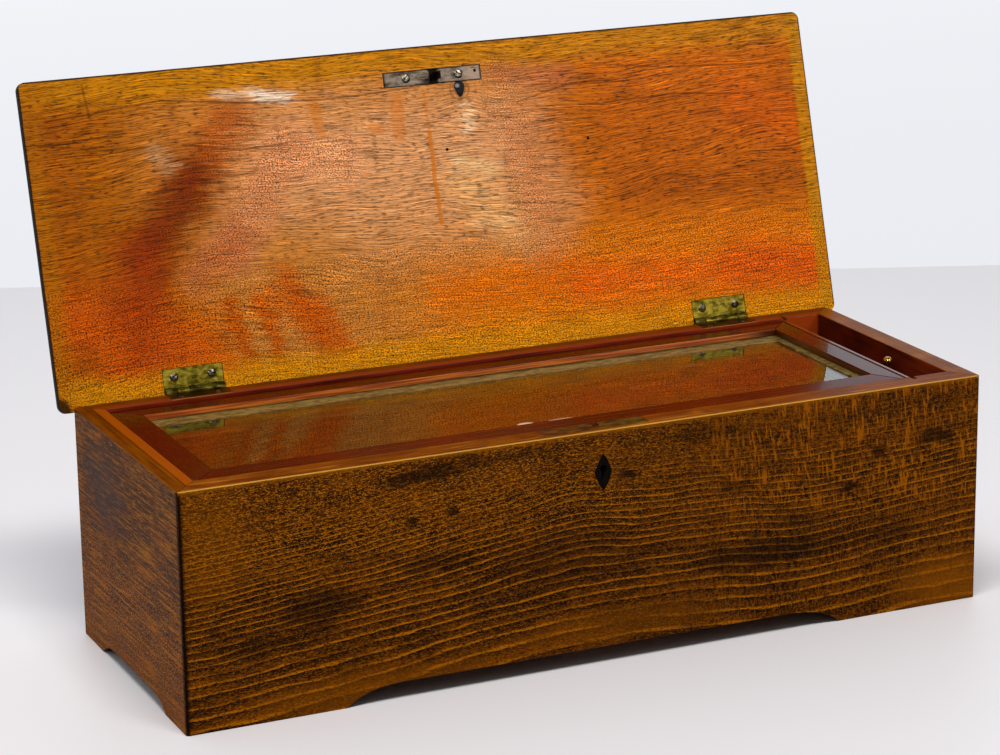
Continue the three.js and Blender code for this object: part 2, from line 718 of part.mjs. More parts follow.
// A turned brass knob: a short neck bored to sit on the lever's tenon, with a ball on it
function leverKnob() {
  const seat = leverTop + GAP;
  const ballCentre = LEVER_NECK_LENGTH + LEVER_BALL_RADIUS * 0.8;
  const startAngle = Math.asin(LEVER_NECK_RADIUS / LEVER_BALL_RADIUS);
  const points = [new THREE.Vector2(0, 0), new THREE.Vector2(LEVER_NECK_RADIUS * 1.5, 0)];
  points.push(new THREE.Vector2(LEVER_NECK_RADIUS * 1.5, 0.7));
  points.push(new THREE.Vector2(LEVER_NECK_RADIUS, 1.1));
  const steps = 9;
  for (let step = 0; step <= steps; step += 1) {
    const angle = startAngle + ((Math.PI - startAngle) * step) / steps;
    const radius = step === steps ? 0 : LEVER_BALL_RADIUS * Math.sin(angle);
    points.push(new THREE.Vector2(radius, ballCentre - LEVER_BALL_RADIUS * Math.cos(angle)));
  }
  const geometry = new THREE.LatheGeometry(points, 20);
  geometry.rotateX(Math.PI / 2);
  geometry.translate(leverX, leverY, seat);
  const boreRadius = LEVER_TENON_RADIUS + RUNNING_GAP;
  const bore = new THREE.CylinderGeometry(boreRadius, boreRadius, LEVER_TENON_LENGTH + 1, 12);
  bore.rotateX(Math.PI / 2);
  bore.translate(leverX, leverY, seat + (LEVER_TENON_LENGTH - 1) / 2);
  return solid(geometry).subtract(solid(bore));
}

// The model: everything that stays with the case, and the lid on its pivot
const caseGroup = new THREE.Group();
caseGroup.add(
  piece('front_board', frontBoard, darkOak),
  piece('back_board', backBoard, darkOak),
  piece('left_end', leftEnd, endWood),
  piece('right_end', rightEnd, endWood),
  piece('bottom_board', bottomBoard, plainDeal),
  piece('partition', partition, mahogany),
  piece('rest_batten_front', batten(innerFront + GAP), plainDeal),
  piece('rest_batten_back', batten(innerBack - GAP - BATTEN_WIDTH), plainDeal),
);
for (const [name, body] of Object.entries(frameMembers)) {
  caseGroup.add(piece(name, body, frameMahogany));
}
caseGroup.add(
  piece('glass_pane', glassPane, glass),
  piece('lock', lock, agedBrass),
  piece('keyhole_escutcheon', escutcheon, ebony),
  piece('lever_bracket', leverBracket, agedBrass),
  piece('control_lever', leverBar(), strikeSteel),
  piece('lever_knob', leverKnob(), polishedBrass),
);

const lidPivot = new THREE.Group();
lidPivot.position.set(0, pinY, pinZ);
lidPivot.rotation.x = THREE.MathUtils.degToRad(-LID_OPEN_DEGREES);
const lidGroup = new THREE.Group();
lidGroup.position.set(0, -pinY, -pinZ);
lidPivot.add(lidGroup);
lidGroup.add(piece('lid_board', lidBoard, mahogany), piece('strike_plate', strikePlate, strikeSteel));
strikeXs.forEach((x, index) => {
  const screw = piece(`strike_screw_${index + 1}`, strikeScrew, screwSteel);
  screw.position.set(x, stapleY, lidBottom + 0.25);
  screw.rotation.set(Math.PI, 0, index * 0.9 + 0.7);
  lidGroup.add(screw);
});

for (const hinge of hinges) {
  const xs = screwXs(hinge.low, hinge.high, HINGE_SCREW_SPACING);
  for (const onCase of [true, false]) {
    const role = onCase ? 'case' : 'lid';
    const group = onCase ? caseGroup : lidGroup;
    let leaf = hingeLeaf(hinge, onCase);
    const faceZ = onCase ? top - 0.25 : lidBottom + 0.25;
    leaf = drilled(leaf, hingeScrewHole, xs, hingeScrewY, faceZ, onCase ? 1 : -1);
    group.add(piece(`hinge_${hinge.side}_${role}_leaf`, leaf, agedBrass));
    xs.forEach((x, index) => {
      const screw = piece(`hinge_${hinge.side}_${role}_screw_${index + 1}`, hingeScrew, screwSteel);
      screw.position.set(x, hingeScrewY, faceZ);
      screw.rotation.set(onCase ? 0 : Math.PI, 0, 1.1 + index * 1.3);
      group.add(screw);
    });
  }
}

// The origin lies on the floor under the middle of the open box
const assembly = new THREE.Group();
assembly.add(caseGroup, lidPivot);
assembly.updateMatrixWorld(true);
const bounds = new THREE.Box3().setFromObject(assembly, true);
const middle = bounds.getCenter(new THREE.Vector3());
assembly.position.set(-middle.x, -middle.y, -bounds.min.z);

const musicBox = new THREE.Group();
musicBox.add(assembly);

export default musicBox;
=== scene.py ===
# A long wooden music box on bracket feet, its lid open over a glazed frame.
# The sections follow the box as it is put together, then the table it stands on.

import json
import math

import bmesh
import bpy
from mathutils import Matrix, Vector

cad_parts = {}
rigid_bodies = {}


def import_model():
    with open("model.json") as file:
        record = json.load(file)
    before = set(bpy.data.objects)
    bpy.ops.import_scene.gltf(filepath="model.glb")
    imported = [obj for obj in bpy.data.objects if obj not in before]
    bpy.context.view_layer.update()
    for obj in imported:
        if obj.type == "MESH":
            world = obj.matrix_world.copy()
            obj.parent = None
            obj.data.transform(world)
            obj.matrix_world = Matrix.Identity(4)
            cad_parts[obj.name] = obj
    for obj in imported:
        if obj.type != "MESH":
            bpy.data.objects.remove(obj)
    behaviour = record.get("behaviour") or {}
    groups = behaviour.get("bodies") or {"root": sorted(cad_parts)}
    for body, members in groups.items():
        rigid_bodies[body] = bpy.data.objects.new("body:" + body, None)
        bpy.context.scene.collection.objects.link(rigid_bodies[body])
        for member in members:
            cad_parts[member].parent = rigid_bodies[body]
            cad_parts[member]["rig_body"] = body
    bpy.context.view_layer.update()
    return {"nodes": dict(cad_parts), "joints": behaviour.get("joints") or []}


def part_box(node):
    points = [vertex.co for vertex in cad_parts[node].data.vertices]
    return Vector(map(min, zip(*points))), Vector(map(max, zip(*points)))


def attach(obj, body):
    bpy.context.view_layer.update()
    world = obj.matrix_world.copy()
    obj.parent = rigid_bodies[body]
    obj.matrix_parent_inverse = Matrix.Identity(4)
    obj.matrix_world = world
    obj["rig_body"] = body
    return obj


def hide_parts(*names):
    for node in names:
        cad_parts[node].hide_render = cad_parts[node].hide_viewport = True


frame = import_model()


# The case: four dark stained oak boards, mitred at the corners, with bracket feet cut from
# their lower edges. The outer faces are stained, the top edges are worn back to bare orange
# wood, and the faces inside have a dark red polish.


class Flow:
    """A number, a vector or a colour on its way through the nodes of a finish."""

    def __init__(self, tree, socket):
        self.tree, self.socket = tree, socket

    def node(self, kind, settings=(), inputs=(), output=0):
        made = self.tree.nodes.new(kind)
        for name, value in dict(settings).items():
            setattr(made, name, value)
        for name, value in dict(inputs).items():
            if isinstance(value, Flow):
                self.tree.links.new(value.socket, made.inputs[name])
            else:
                made.inputs[name].default_value = value
        return Flow(self.tree, made.outputs[output])

    def math(self, operation, *others):
        values = dict(enumerate((self, *others)))
        return self.node("ShaderNodeMath", {"operation": operation}, values)

    def parts(self):
        return [self.node("ShaderNodeSeparateXYZ", (), {0: self}, axis) for axis in range(3)]

    def __add__(self, other):
        return self.math("ADD", other)

    __radd__ = __add__

    def __sub__(self, other):
        return self.math("SUBTRACT", other)

    def __rsub__(self, other):
        return self * -1 + other

    def __mul__(self, other):
        return self.math("MULTIPLY", other)

    def __truediv__(self, other):
        return self.math("DIVIDE", other)


def paint(code):
    """The linear colour of a six-figure paint code."""
    shades = [int(code[start : start + 2], 16) / 255 for start in (0, 2, 4)]
    return (*[s / 12.92 if s < 0.04045 else ((s + 0.055) / 1.055) ** 2.4 for s in shades], 1.0)


def rise(value, low, high):
    """Climbs smoothly from 0 where the value is low to 1 where it is high."""
    limits = {"Value": value, "From Min": low, "From Max": high}
    return value.node("ShaderNodeMapRange", {"interpolation_type": "SMOOTHSTEP"}, limits)


def bell(value, centre, width):
    """1 at the centre, falling off smoothly to 0 about two widths away."""
    away = (value - centre) / width
    return (away * away * -1).math("EXPONENT")


def cloud(place, size, detail=2.0, rough=0.5, seed=0.0, twist=0.0):
    """Noise from 0 to 1 whose lumps have the given size in millimetres along each axis."""
    scale = tuple(1 / length for length in size)
    shifted = {"Vector": place, "Location": (seed, seed * 0.7, -seed), "Scale": scale}
    moved = place.node("ShaderNodeMapping", (), shifted)
    noise = {"Vector": moved, "Scale": 1.0, "Detail": detail, "Roughness": rough}
    return place.node("ShaderNodeTexNoise", (), {**noise, "Distortion": twist})


def blend(mask, under, over):
    """The colour over laid on the colour under, as far as the mask goes."""
    return mask.node("ShaderNodeMix", {"data_type": "RGBA"}, {0: mask, 6: under, 7: over}, 2)


def shade(mask, colour, factor):
    """The colour made darker or lighter by that factor, as far as the mask goes."""
    scale = mask * (factor - 1) + 1
    return mask.node("ShaderNodeVectorMath", {"operation": "SCALE"}, {0: colour, "Scale": scale})


def enrich(colour, saturation, value=1.0):
    """The colour with its saturation and its brightness multiplied."""
    numbers = {"Color": colour, "Saturation": saturation, "Value": value}
    return colour.node("ShaderNodeHueSaturation", (), numbers)


def spot(across, up, centre, size, soft=0.5):
    """1 inside an ellipse, fading to 0 at its rim."""
    wide = (across - centre[0]) / size[0]
    high = (up - centre[1]) / size[1]
    return rise(wide * wide + high * high, 1.0, soft * soft)


def relief(height, depth):
    """A bump that many millimetres deep."""
    return height.node("ShaderNodeBump", (), {"Height": height, "Distance": depth / 1000})


def finish(name, build=lambda place: {}, **fixed):
    """A Principled material. build takes the place in millimetres and gives what varies."""
    material = bpy.data.materials.new(name)
    material.use_nodes = True
    tree = material.node_tree
    shader = tree.nodes["Principled BSDF"]
    place = Flow(tree, tree.nodes.new("ShaderNodeTexCoord").outputs["Object"])
    scaled = place.node("ShaderNodeVectorMath", {"operation": "SCALE"}, {0: place, "Scale": 1000})
    for socket, value in {**fixed, **build(scaled)}.items():
        socket = socket.replace("_", " ")
        if isinstance(value, Flow):
            tree.links.new(value.socket, shader.inputs[socket])
        else:
            shader.inputs[socket].default_value = value
    return material


def longer_than(length):
    """Picks the edges that are longer than that many metres."""
    return lambda edge: edge.calc_length() > length


def worked(node, ease=0.0, steps=2, eased=longer_than(0.008)):
    """A smooth-shaded copy of a CAD solid, its outer corners eased, that stands for it."""
    same_point = 2e-6
    flat_under, corner_over, smooth_under = map(math.radians, (0.6, 50, 35))
    form = bmesh.new()
    form.from_mesh(frame["nodes"][node].data)
    bmesh.ops.remove_doubles(form, verts=form.verts, dist=same_point)
    bmesh.ops.dissolve_limit(form, angle_limit=flat_under, verts=form.verts, edges=form.edges)
    if ease:
        corners = [
            edge
            for edge in form.edges
            if edge.is_convex and edge.calc_face_angle(0.0) > corner_over and eased(edge)
        ]
        bmesh.ops.bevel(
            form,
            geom=corners,
            offset=ease,
            offset_type="OFFSET",
            segments=steps,
            profile=0.5,
            affect="EDGES",
            clamp_overlap=False,
        )
    mesh = bpy.data.meshes.new(node + "_worked")
    form.to_mesh(mesh)
    form.free()
    mesh.shade_smooth()
    mesh.set_sharp_from_angle(angle=smooth_under)
    piece = bpy.data.objects.new(node + "_worked", mesh)
    bpy.context.scene.collection.objects.link(piece)
    flat = piece.modifiers.new("flat_faces", "WEIGHTED_NORMAL")
    flat.keep_sharp = True
    flat.weight = 100
    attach(piece, frame["nodes"][node]["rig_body"])
    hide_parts(node)
    return piece


def dress(piece, finishes, choose=lambda normal: 0):
    """Gives each face the finish in the place that choose returns for the way it faces."""
    for material in finishes:
        piece.data.materials.append(material)
    for face in piece.data.polygons:
        face.material_index = choose(face.normal)


front_low, front_high = (corner * 1000 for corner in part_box("front_board"))
back_low, back_high = (corner * 1000 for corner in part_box("back_board"))
left_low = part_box("left_end")[0] * 1000
rim = front_high.z


def stained_front(place):
    """Plain-sawn oak: growth lines that climb to the right, ray flecks, and dark stain."""
    x, _, z = place.parts()
    face = x.node("ShaderNodeCombineXYZ", (), {0: x, 1: 0.0, 2: z})
    drift = cloud(face, (70, 70, 30), 2, seed=3) - 0.5
    climb = rise(x, -250, 15) * 21 - bell(x, 128, 62) * 6 + bell(x, -16, 26) * rise(z, 45, 75) * 3
    level = z - climb + drift * 8
    fine = cloud(face, (22, 22, 1.8), 3, seed=11) - 0.5
    rings = level * 0.135 + level * level * 0.00125 + fine * 0.35
    turn = rings.math("FRACT")
    groove = rise(turn, 0.26, 0.06) + rise(turn, 0.94, 1.0)
    strength = rise(cloud(face, (50, 50, 4), 3, seed=5), 0.3, 0.58)
    lower = rise(z, 118, 84)
    line = groove * strength * (lower * 0.8 + 0.2)
    band = rise(turn, 0.35, 0.92) * (lower * 0.7 + 0.3)
    grime = cloud(face, (46, 46, 15), 3, 0.62, seed=21)
    speck = cloud(face, (2.0, 9.0, 0.65), 2, 0.6, seed=31)
    grit = cloud(face, (0.95, 1.0, 0.5), 1, seed=41)
    body = blend(rise(grime, 0.3, 0.7), paint("3c1c06"), paint("7a400c"))
    body = blend(band * 0.85, body, paint("140802"))
    body = blend(line * 0.95, body, paint("cc7a20"))
    body = blend(rise(speck, 0.48, 0.37) * 0.75, body, paint("100602"))
    topmost = rise(z, 66, 100) * rise(x, 120, -60)
    body = blend(rise(speck, 0.55, 0.66) * (topmost * 0.5 + 0.36), body, paint("c47220"))
    body = blend(rise(grit, 0.58, 0.7) * (topmost * 0.4 + 0.28), body, paint("d89040"))
    body = blend(rise(grit, 0.42, 0.3) * 0.5, body, paint("120802"))
    tilted = x.node("ShaderNodeCombineXYZ", (), {0: x + z * 0.1, 1: 0.0, 2: z + x * 0.06})
    hatch = cloud(tilted, (0.75, 20, 3.6), 1, seed=51)
    ray = cloud(tilted, (1.5, 30, 9), 2, 0.5, seed=61)
    broken = rise(cloud(tilted, (10, 30, 9), 1, seed=71), 0.4, 0.56)
    flecked = rise(x, 15, 105) * rise(z + x * 0.1, 66, 96)
    body = blend(rise(hatch, 0.52, 0.66) * rise(x, 0, 90) * 0.4, body, paint("8e5012"))
    body = blend(rise(hatch, 0.46, 0.34) * rise(x, 0, 90) * 0.55, body, paint("180a03"))
    body = blend(rise(ray, 0.53, 0.61) * broken * flecked * 0.75, body, paint("b8681c"))
    ragged_x = x + (grime - 0.5) * 26 + (speck - 0.5) * 14
    ragged_z = z + (cloud(face, (14, 14, 5), 3, 0.6, seed=81) - 0.5) * 14
    # Dark stains: the middle, the half width and half height, and the strength of each.
    for centre, size, amount in (
        ((-100, 117), (34, 5), 0.8),
        ((-60, 121), (50, 4), 0.5),
        ((-156, 56), (30, 14), 0.6),
        ((-190, 40), (28, 7), 0.5),
        ((-104, 94), (5, 3), 0.85),
        ((-82, 97), (4, 3), 0.85),
        ((-82, 81), (5, 3), 0.75),
        ((-213, 52), (4, 3), 0.75),
        ((-92, 70), (26, 6), 0.5),
        ((-20, 62), (50, 20), 0.4),
        ((19, 101), (8, 4), 0.85),
        ((98, 46), (62, 11), 0.65),
        ((174, 46), (28, 8), 0.5),
        ((152, 75), (8, 5), 0.85),
        ((170, 93), (9, 6), 0.75),
        ((206, 97), (13, 6), 0.75),
        ((82, 87), (12, 4), 0.65),
        ((60, 118), (30, 5), 0.35),
        ((120, 62), (22, 6), 0.5),
    ):
        stain = spot(ragged_x, ragged_z, centre, size, 0.2) * amount
        body = blend(stain, body, paint("110703"))
    # Places where the stain is rubbed thin.
    for centre, size, amount in (
        ((212, 10), (50, 24), 0.5),
        ((-120, 8), (90, 16), 0.35),
        ((10, 20), (80, 12), 0.3),
        ((-215, 95), (30, 34), 0.25),
    ):
        body = blend(spot(ragged_x, ragged_z, centre, size, 0.1) * amount, body, paint("a05a10"))
    # Painted shade: the front board is painted near black inside the keyhole.
    keyhole_low, keyhole_high = (corner * 1000 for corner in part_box("keyhole_escutcheon"))
    keyhole = (keyhole_low + keyhole_high) / 2
    body = blend(spot(x, z, (keyhole.x, keyhole.z), (4.2, 8.5), 0.6), body, paint("050302"))
    corners = rise(x, -226.6, -229.2) + rise(x, 228.4, 229.8) * 0.8
    body = blend(corners, body, paint("0c0603"))
    body = blend(rise(z, 124.8, 127) * 0.6, body, paint("a8681a"))
    pores = speck * 0.5 + grit * 0.3 + groove * 0.2
    return {
        "Base Color": enrich(body, saturation=1.05, value=0.52),
        "Roughness": 0.5 + speck * 0.2,
        "Normal": relief(pores, 0.3),
    }


def stained_end(place):
    """The greyer stain of the ends: fine level grain, speckled below, a painted bluish-grey
    reflection above.
    """
    _, y, z = place.parts()
    face = y.node("ShaderNodeCombineXYZ", (), {0: 0.0, 1: y, 2: z + y * 0.03})
    long_grain = cloud(face, (30, 40, 1.3), 3, 0.65, seed=7)
    hairs = cloud(face, (30, 9, 0.7), 2, 0.6, seed=9)
    speck = cloud(face, (5, 1.8, 0.7), 2, 0.6, seed=17)
    patch = cloud(face, (60, 34, 16), 3, seed=27)
    body = blend(rise(patch, 0.35, 0.65), paint("482e1e"), paint("6e472e"))
    body = blend(rise(long_grain, 0.51, 0.4) * 0.85, body, paint("1a0f09"))
    body = blend(rise(long_grain, 0.53, 0.62) * 0.75, body, paint("aa784e"))
    body = blend(rise(hairs, 0.47, 0.34) * 0.65, body, paint("160c07"))
    body = blend(rise(hairs, 0.55, 0.66) * rise(z, 30, 100) * 0.55, body, paint("b28b6a"))
    body = blend(rise(speck, 0.53, 0.64) * (rise(z, 90, 40) * 0.6 + 0.25), body, paint("c1763b"))
    body = blend(rise(speck, 0.46, 0.34) * 0.6, body, paint("140a05"))
    # Painted reflection: the bluish-grey sheen of the pale room on the upper part of the end.
    bloom = spot(y + (patch - 0.5) * 50, z, (8, 96), (52, 34), 0.1)
    body = blend(bloom * 0.5, body, paint("36353a"))
    body = blend(rise(z, 46, 4) * 0.35, body, paint("7e4a22"))
    at_corner = rise(y, front_low.y + 4, front_low.y + 0.6)
    body = blend(at_corner * 0.85, body, paint("0e0805"))
    return {
        "Base Color": enrich(body, saturation=1.4, value=0.85),
        "Roughness": 0.45 + long_grain * 0.2,
        "Normal": relief(long_grain * 0.6 + speck * 0.3, 0.22),
    }


def bare_edge(along, across, place, tone, seam=None):
    """A top edge worn to bare wood, with its grain along the board, and a dark seam or none."""
    size = (48, 1.1, 20) if along == 0 else (1.1, 48, 20)
    grain = cloud(place, size, 3, 0.6, seed=13, twist=0.5)
    waves = cloud(place, (26, 26, 20), 2, seed=23, twist=1.0)
    body = blend(rise(waves, 0.35, 0.65), paint(tone[0]), paint(tone[1]))
    body = blend(rise(grain, 0.5, 0.38) * 0.6, body, paint(tone[2]))
    body = blend(rise(grain, 0.55, 0.7) * 0.4, body, paint(tone[3]))
    if seam is not None:
        wander = across + (waves - 0.5) * 1.2
        body = blend(bell(wander, seam, 0.45) * 0.8, body, paint(tone[2]))
    return {
        "Base Color": enrich(body, saturation=1.07, value=0.56),
        "Roughness": 0.32 + grain * 0.2,
        "Normal": relief(grain, 0.12),
    }


def front_edge(place):
    """The front's top edge, paler at its outer corner. Lower down it is the keyhole's bore, painted
    near black as painted shade.
    """
    _, y, z = place.parts()
    made = bare_edge(0, y, place, ("8e420c", "ac5812", "5a2406", "d08428"))
    streak = cloud(place, (44, 3.2, 20), 3, 0.6, seed=33, twist=0.7)
    body = blend(rise(streak, 0.55, 0.68) * 0.4, made["Base Color"], paint("c9822a"))
    rubbed = rise(y, front_low.y + 1.6, front_low.y + 0.3)
    body = blend(rubbed * 0.6, body, paint("d9a548"))
    # Painted shade in the keyhole's bore.
    made["Base Color"] = blend(rise(z, 118, 114), body, paint("050302"))
    return made


def back_edge(place):
    """The back's top edge, redder on the inner side of its seam."""
    _, y, _ = place.parts()
    seam = back_low.y + 5.5
    made = bare_edge(0, y, place, ("763a10", "904c18", "4a1a06", "b46c30"), seam)
    inner = rise(y, seam + 0.7, seam - 0.5) * 0.75
    made["Base Color"] = blend(inner, made["Base Color"], paint("8a2f10"))
    return made


def left_edge(place):
    """The left end's top edge, redder on the inner side of its seam."""
    x, _, _ = place.parts()
    seam = left_low.x + 8
    made = bare_edge(1, x, place, ("86400c", "9c5414", "541e06", "cc802c"), seam)
    inner = rise(x, seam - 0.4, seam + 0.6) * 0.7
    made["Base Color"] = blend(inner, made["Base Color"], paint("a84e06"))
    return made


def right_edge(place):
    x, _, _ = place.parts()
    return bare_edge(1, x, place, ("9a5216", "b86e2a", "5a2a0a", "d89a50"))


def polished_inside(place):
    """The red-brown polish inside, paler on the back wall of the right compartment, with painted
    shade toward its right end.
    """
    grain = cloud(place, (50, 50, 1.6), 3, 0.6, seed=19)
    patch = cloud(place, (40, 40, 30), 2, seed=29)
    body = blend(rise(patch, 0.3, 0.7), paint("4a1406"), paint("74260c"))
    body = blend(rise(grain, 0.5, 0.34) * 0.6, body, paint("240803"))
    x, y, _ = place.parts()
    on_back = rise(y, back_low.y - 1, back_low.y - 0.5)
    body = blend(rise(x, 190, 200) * on_back * 0.6, body, paint("a8420e"))
    # Painted shade on the right end's inner face, deepest toward the back.
    off_back = rise(y, back_low.y - 0.2, back_low.y - 1)
    shaded = rise(x, 200, 214) * rise(y, -70, 20) * off_back
    body = shade(shaded * 0.75, body, 0.4)
    return {"Base Color": body, "Roughness": 0.25 + grain * 0.15, "Normal": relief(grain, 0.08)}


def back_outside(place):
    """The plain back: the same stain over straight grain."""
    grain = cloud(place, (70, 70, 2.4), 3, 0.6, seed=43)
    speck = cloud(place, (6, 6, 1.0), 2, 0.6, seed=53)
    body = blend(rise(grain, 0.35, 0.65), paint("2e1808"), paint("6a3c12"))
    body = blend(rise(speck, 0.45, 0.34) * 0.6, body, paint("160b05"))
    body = blend(rise(speck, 0.6, 0.7) * 0.3, body, paint("94602a"))
    return {"Base Color": body, "Roughness": 0.5, "Normal": relief(grain + speck * 0.5, 0.2)}


def raw_underside(place):
    grain = cloud(place, (60, 6, 2), 3, 0.6, seed=59)
    body = blend(rise(grain, 0.35, 0.65), paint("3a2412"), paint("6b4a28"))
    return {"Base Color": body, "Roughness": 0.8, "Normal": relief(grain, 0.2)}


inside_finish = finish("inside_polish", polished_inside, Specular_IOR_Level=0.12)
under_finish = finish("sawn_underside", raw_underside)
end_finish = finish("end_oak", stained_end, Specular_IOR_Level=0.04)
outer_finishes = {
    "front_board": finish("front_oak", stained_front, Specular_IOR_Level=0.03),
    "back_board": finish("back_oak", back_outside, Specular_IOR_Level=0.04),
    "left_end": end_finish,
    "right_end": end_finish,
}
edge_finishes = {
    "front_board": finish("front_edge", front_edge, Specular_IOR_Level=0.04),
    "back_board": finish("back_edge", back_edge, Specular_IOR_Level=0.08),
    "left_end": finish("left_edge", left_edge, Specular_IOR_Level=0.03),
    "right_end": finish("right_edge", right_edge, Specular_IOR_Level=0.08),
}


def outline(edge):
    """Whether an edge is a long or a very short level corner of a board, clear of its mitres."""
    for face in edge.link_faces:
        if min(abs(face.normal.x), abs(face.normal.y)) > 0.3 and face.calc_area() > 1e-4:
            return False
    level = abs(edge.verts[0].co.z - edge.verts[1].co.z) < 1e-5
    return edge.calc_length() > 0.02 or (level and edge.calc_length() < 0.001)


def board_faces(inside):
    """Tells a board's faces apart: 0 outside, 1 on top, 2 inside the case, 3 underneath."""

    def choose(normal):
        if normal.dot(inside) > 0.5:
            return 2
        return 1 if normal.z > 0.35 else 3 if normal.z < -0.7 else 0

    return choose


for board, slot, inside in (
    ("front_board", "dark_oak", Vector((0, 1, 0))),
    ("back_board", "dark_oak", Vector((0, -1, 0))),
    ("left_end", "end_wood", Vector((1, 0, 0))),
    ("right_end", "end_wood", Vector((-1, 0, 0))),
):
    finishes = (outer_finishes[board], edge_finishes[board], inside_finish, under_finish)
    dress(worked(board, 0.0004, 2, outline), finishes, board_faces(inside))


# The bottom board and the two rest battens: plain softwood, stained dark inside, that carries
# the glazed frame on ledges along the front and the back.


def plain_softwood(place):
    grain = cloud(place, (80, 4, 3), 3, 0.6, seed=67)
    body = blend(rise(grain, 0.35, 0.65), paint("703406"), paint("a45412"))
    return {"Base Color": body, "Roughness": 0.65, "Normal": relief(grain, 0.15)}


softwood = finish("plain_softwood", plain_softwood)
for node in ("bottom_board", "rest_batten_front", "rest_batten_back"):
    dress(worked(node, 0.0003), (softwood,))


# The partition: a thin polished mahogany board let into the front and back, that closes off
# the narrow compartment for the lever.


def partition_polish(place):
    grain = cloud(place, (20, 60, 1.4), 3, 0.6, seed=73)
    body = blend(rise(grain, 0.35, 0.65), paint("3c1006"), paint("6a240c"))
    return {"Base Color": body, "Roughness": 0.22 + grain * 0.1, "Normal": relief(grain, 0.06)}


partition_finish = finish(
    "partition_polish", partition_polish, Coat_Weight=0.25, Coat_Roughness=0.1
)
dress(worked("partition", 0.0004, 3), (partition_finish,))


# The glazed frame: four mitred members of dark red mahogany, french polished, grooved for the
# glass. Its inner faces are orange wood, painted brighter for the light that falls on them and
# darker near the right stile as painted shadow.


def frame_polish(grain_size, brightness):
    """Red polish over grain that runs along the member, deeper where it is less bright."""

    def build(place):
        grain = cloud(place, grain_size, 3, 0.6, seed=79)
        patch = cloud(place, (60, 60, 60), 2, seed=83)
        body = blend(rise(patch, 0.35, 0.65), paint("620c03"), paint("821705"))
        body = blend(rise(grain, 0.5, 0.36) * 0.55, body, paint("2a0702"))
        body = blend(rise(grain, 0.56, 0.7) * 0.3, body, paint("a0300c"))
        return {
            "Base Color": enrich(body, saturation=1.25, value=brightness),
            "Roughness": 0.2 + grain * 0.12,
            "Normal": relief(grain, 0.05),
        }

    return build


glass_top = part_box("glass_pane")[1].z * 1000
stile_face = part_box("frame_right_stile")[0].x * 1000


def rebate_putty(place):
    """The frame's inner face: orange wood above the glass, a ragged strip of old putty below."""
    x, _, z = place.parts()
    grain = cloud(place, (50, 50, 1.0), 3, 0.6, seed=89)
    lumps = cloud(place, (5, 5, 3), 3, 0.65, seed=97)
    # Painted light: the bright orange of the inner faces stands for the light falling on them.
    wood = blend(rise(grain, 0.4, 0.62), paint("7a3009"), paint("b8641a"))
    putty = blend(rise(lumps, 0.35, 0.65), paint("6f6a4c"), paint("a8a27c"))
    below = rise(z + (lumps - 0.5) * 0.8, glass_top + 0.2, glass_top - 0.2)
    # Painted shadow: the inner faces darken toward the right stile.
    shadow = rise(x, stile_face - 26, stile_face - 4)
    body = blend(below, blend(shadow * 0.85, wood, paint("1c0602")), putty)
    return {"Base Color": body, "Roughness": 0.3 + below * 0.4, "Normal": relief(lumps, 0.1)}


french_polish = {"Specular_IOR_Level": 0.05, "Coat_Roughness": 0.05}
rail = finish("rail_polish", frame_polish((70, 1.3, 9), 0.44), Coat_Weight=0.12, **french_polish)
stile = finish("stile_polish", frame_polish((1.3, 70, 9), 0.25), Coat_Weight=0.38, **french_polish)
rebate_finish = finish("rebate", rebate_putty)
for node, polish, inner in (
    ("frame_front_rail", rail, Vector((0, 1, 0))),
    ("frame_back_rail", rail, Vector((0, -1, 0))),
    ("frame_left_stile", stile, Vector((1, 0, 0))),
    ("frame_right_stile", stile, Vector((-1, 0, 0))),
):
    dress(
        worked(node, 0.0004, 3),
        (polish, rebate_finish),
        lambda normal, inner=inner: 1 if normal.dot(inner) > 0.9 else 0,
    )


# The glass: one thin clear pane, slightly green, held in the groove of the frame. Old putty and
# dust are smeared on it along the back and the right.

pane_low, pane_high = (corner * 1000 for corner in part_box("glass_pane"))


def putty_smear(place):
    """Dried putty and dust, in ragged strips on the glass along the back and right edges."""
    lumps = cloud(place, (4, 2, 4), 3, 0.6, seed=211)
    body = blend(rise(lumps, 0.35, 0.65), paint("5f4c1e"), paint("a08a48"))
    return {"Base Color": body, "Roughness": 0.35}


def smear_amount(place):
    """Where the smears lie: at the back they are widest, and at the front there are two chips."""
    x, y, _ = place.parts()
    ragged = cloud(place, (16, 6, 6), 4, 0.65, seed=213) - 0.5
    streaks = cloud(place, (60, 1.6, 6), 3, 0.6, seed=217)
    at_back = rise(y + ragged * 9, pane_high.y - 19, pane_high.y - 14)
    at_right = rise(x + ragged * 9, pane_high.x - 11, pane_high.x - 8)
    thin = rise(streaks, 0.3, 0.55) * 0.2 + 0.7
    strips = at_back.math("MAXIMUM", at_right) * thin
    chips = spot(x + ragged * 3, y, (-21.5, pane_low.y + 17), (6, 3.4), 0.6)
    chips = chips.math("MAXIMUM", spot(x + ragged * 5, y, (-1, pane_low.y + 16.4), (10, 1.8), 0.6))
    return strips, chips


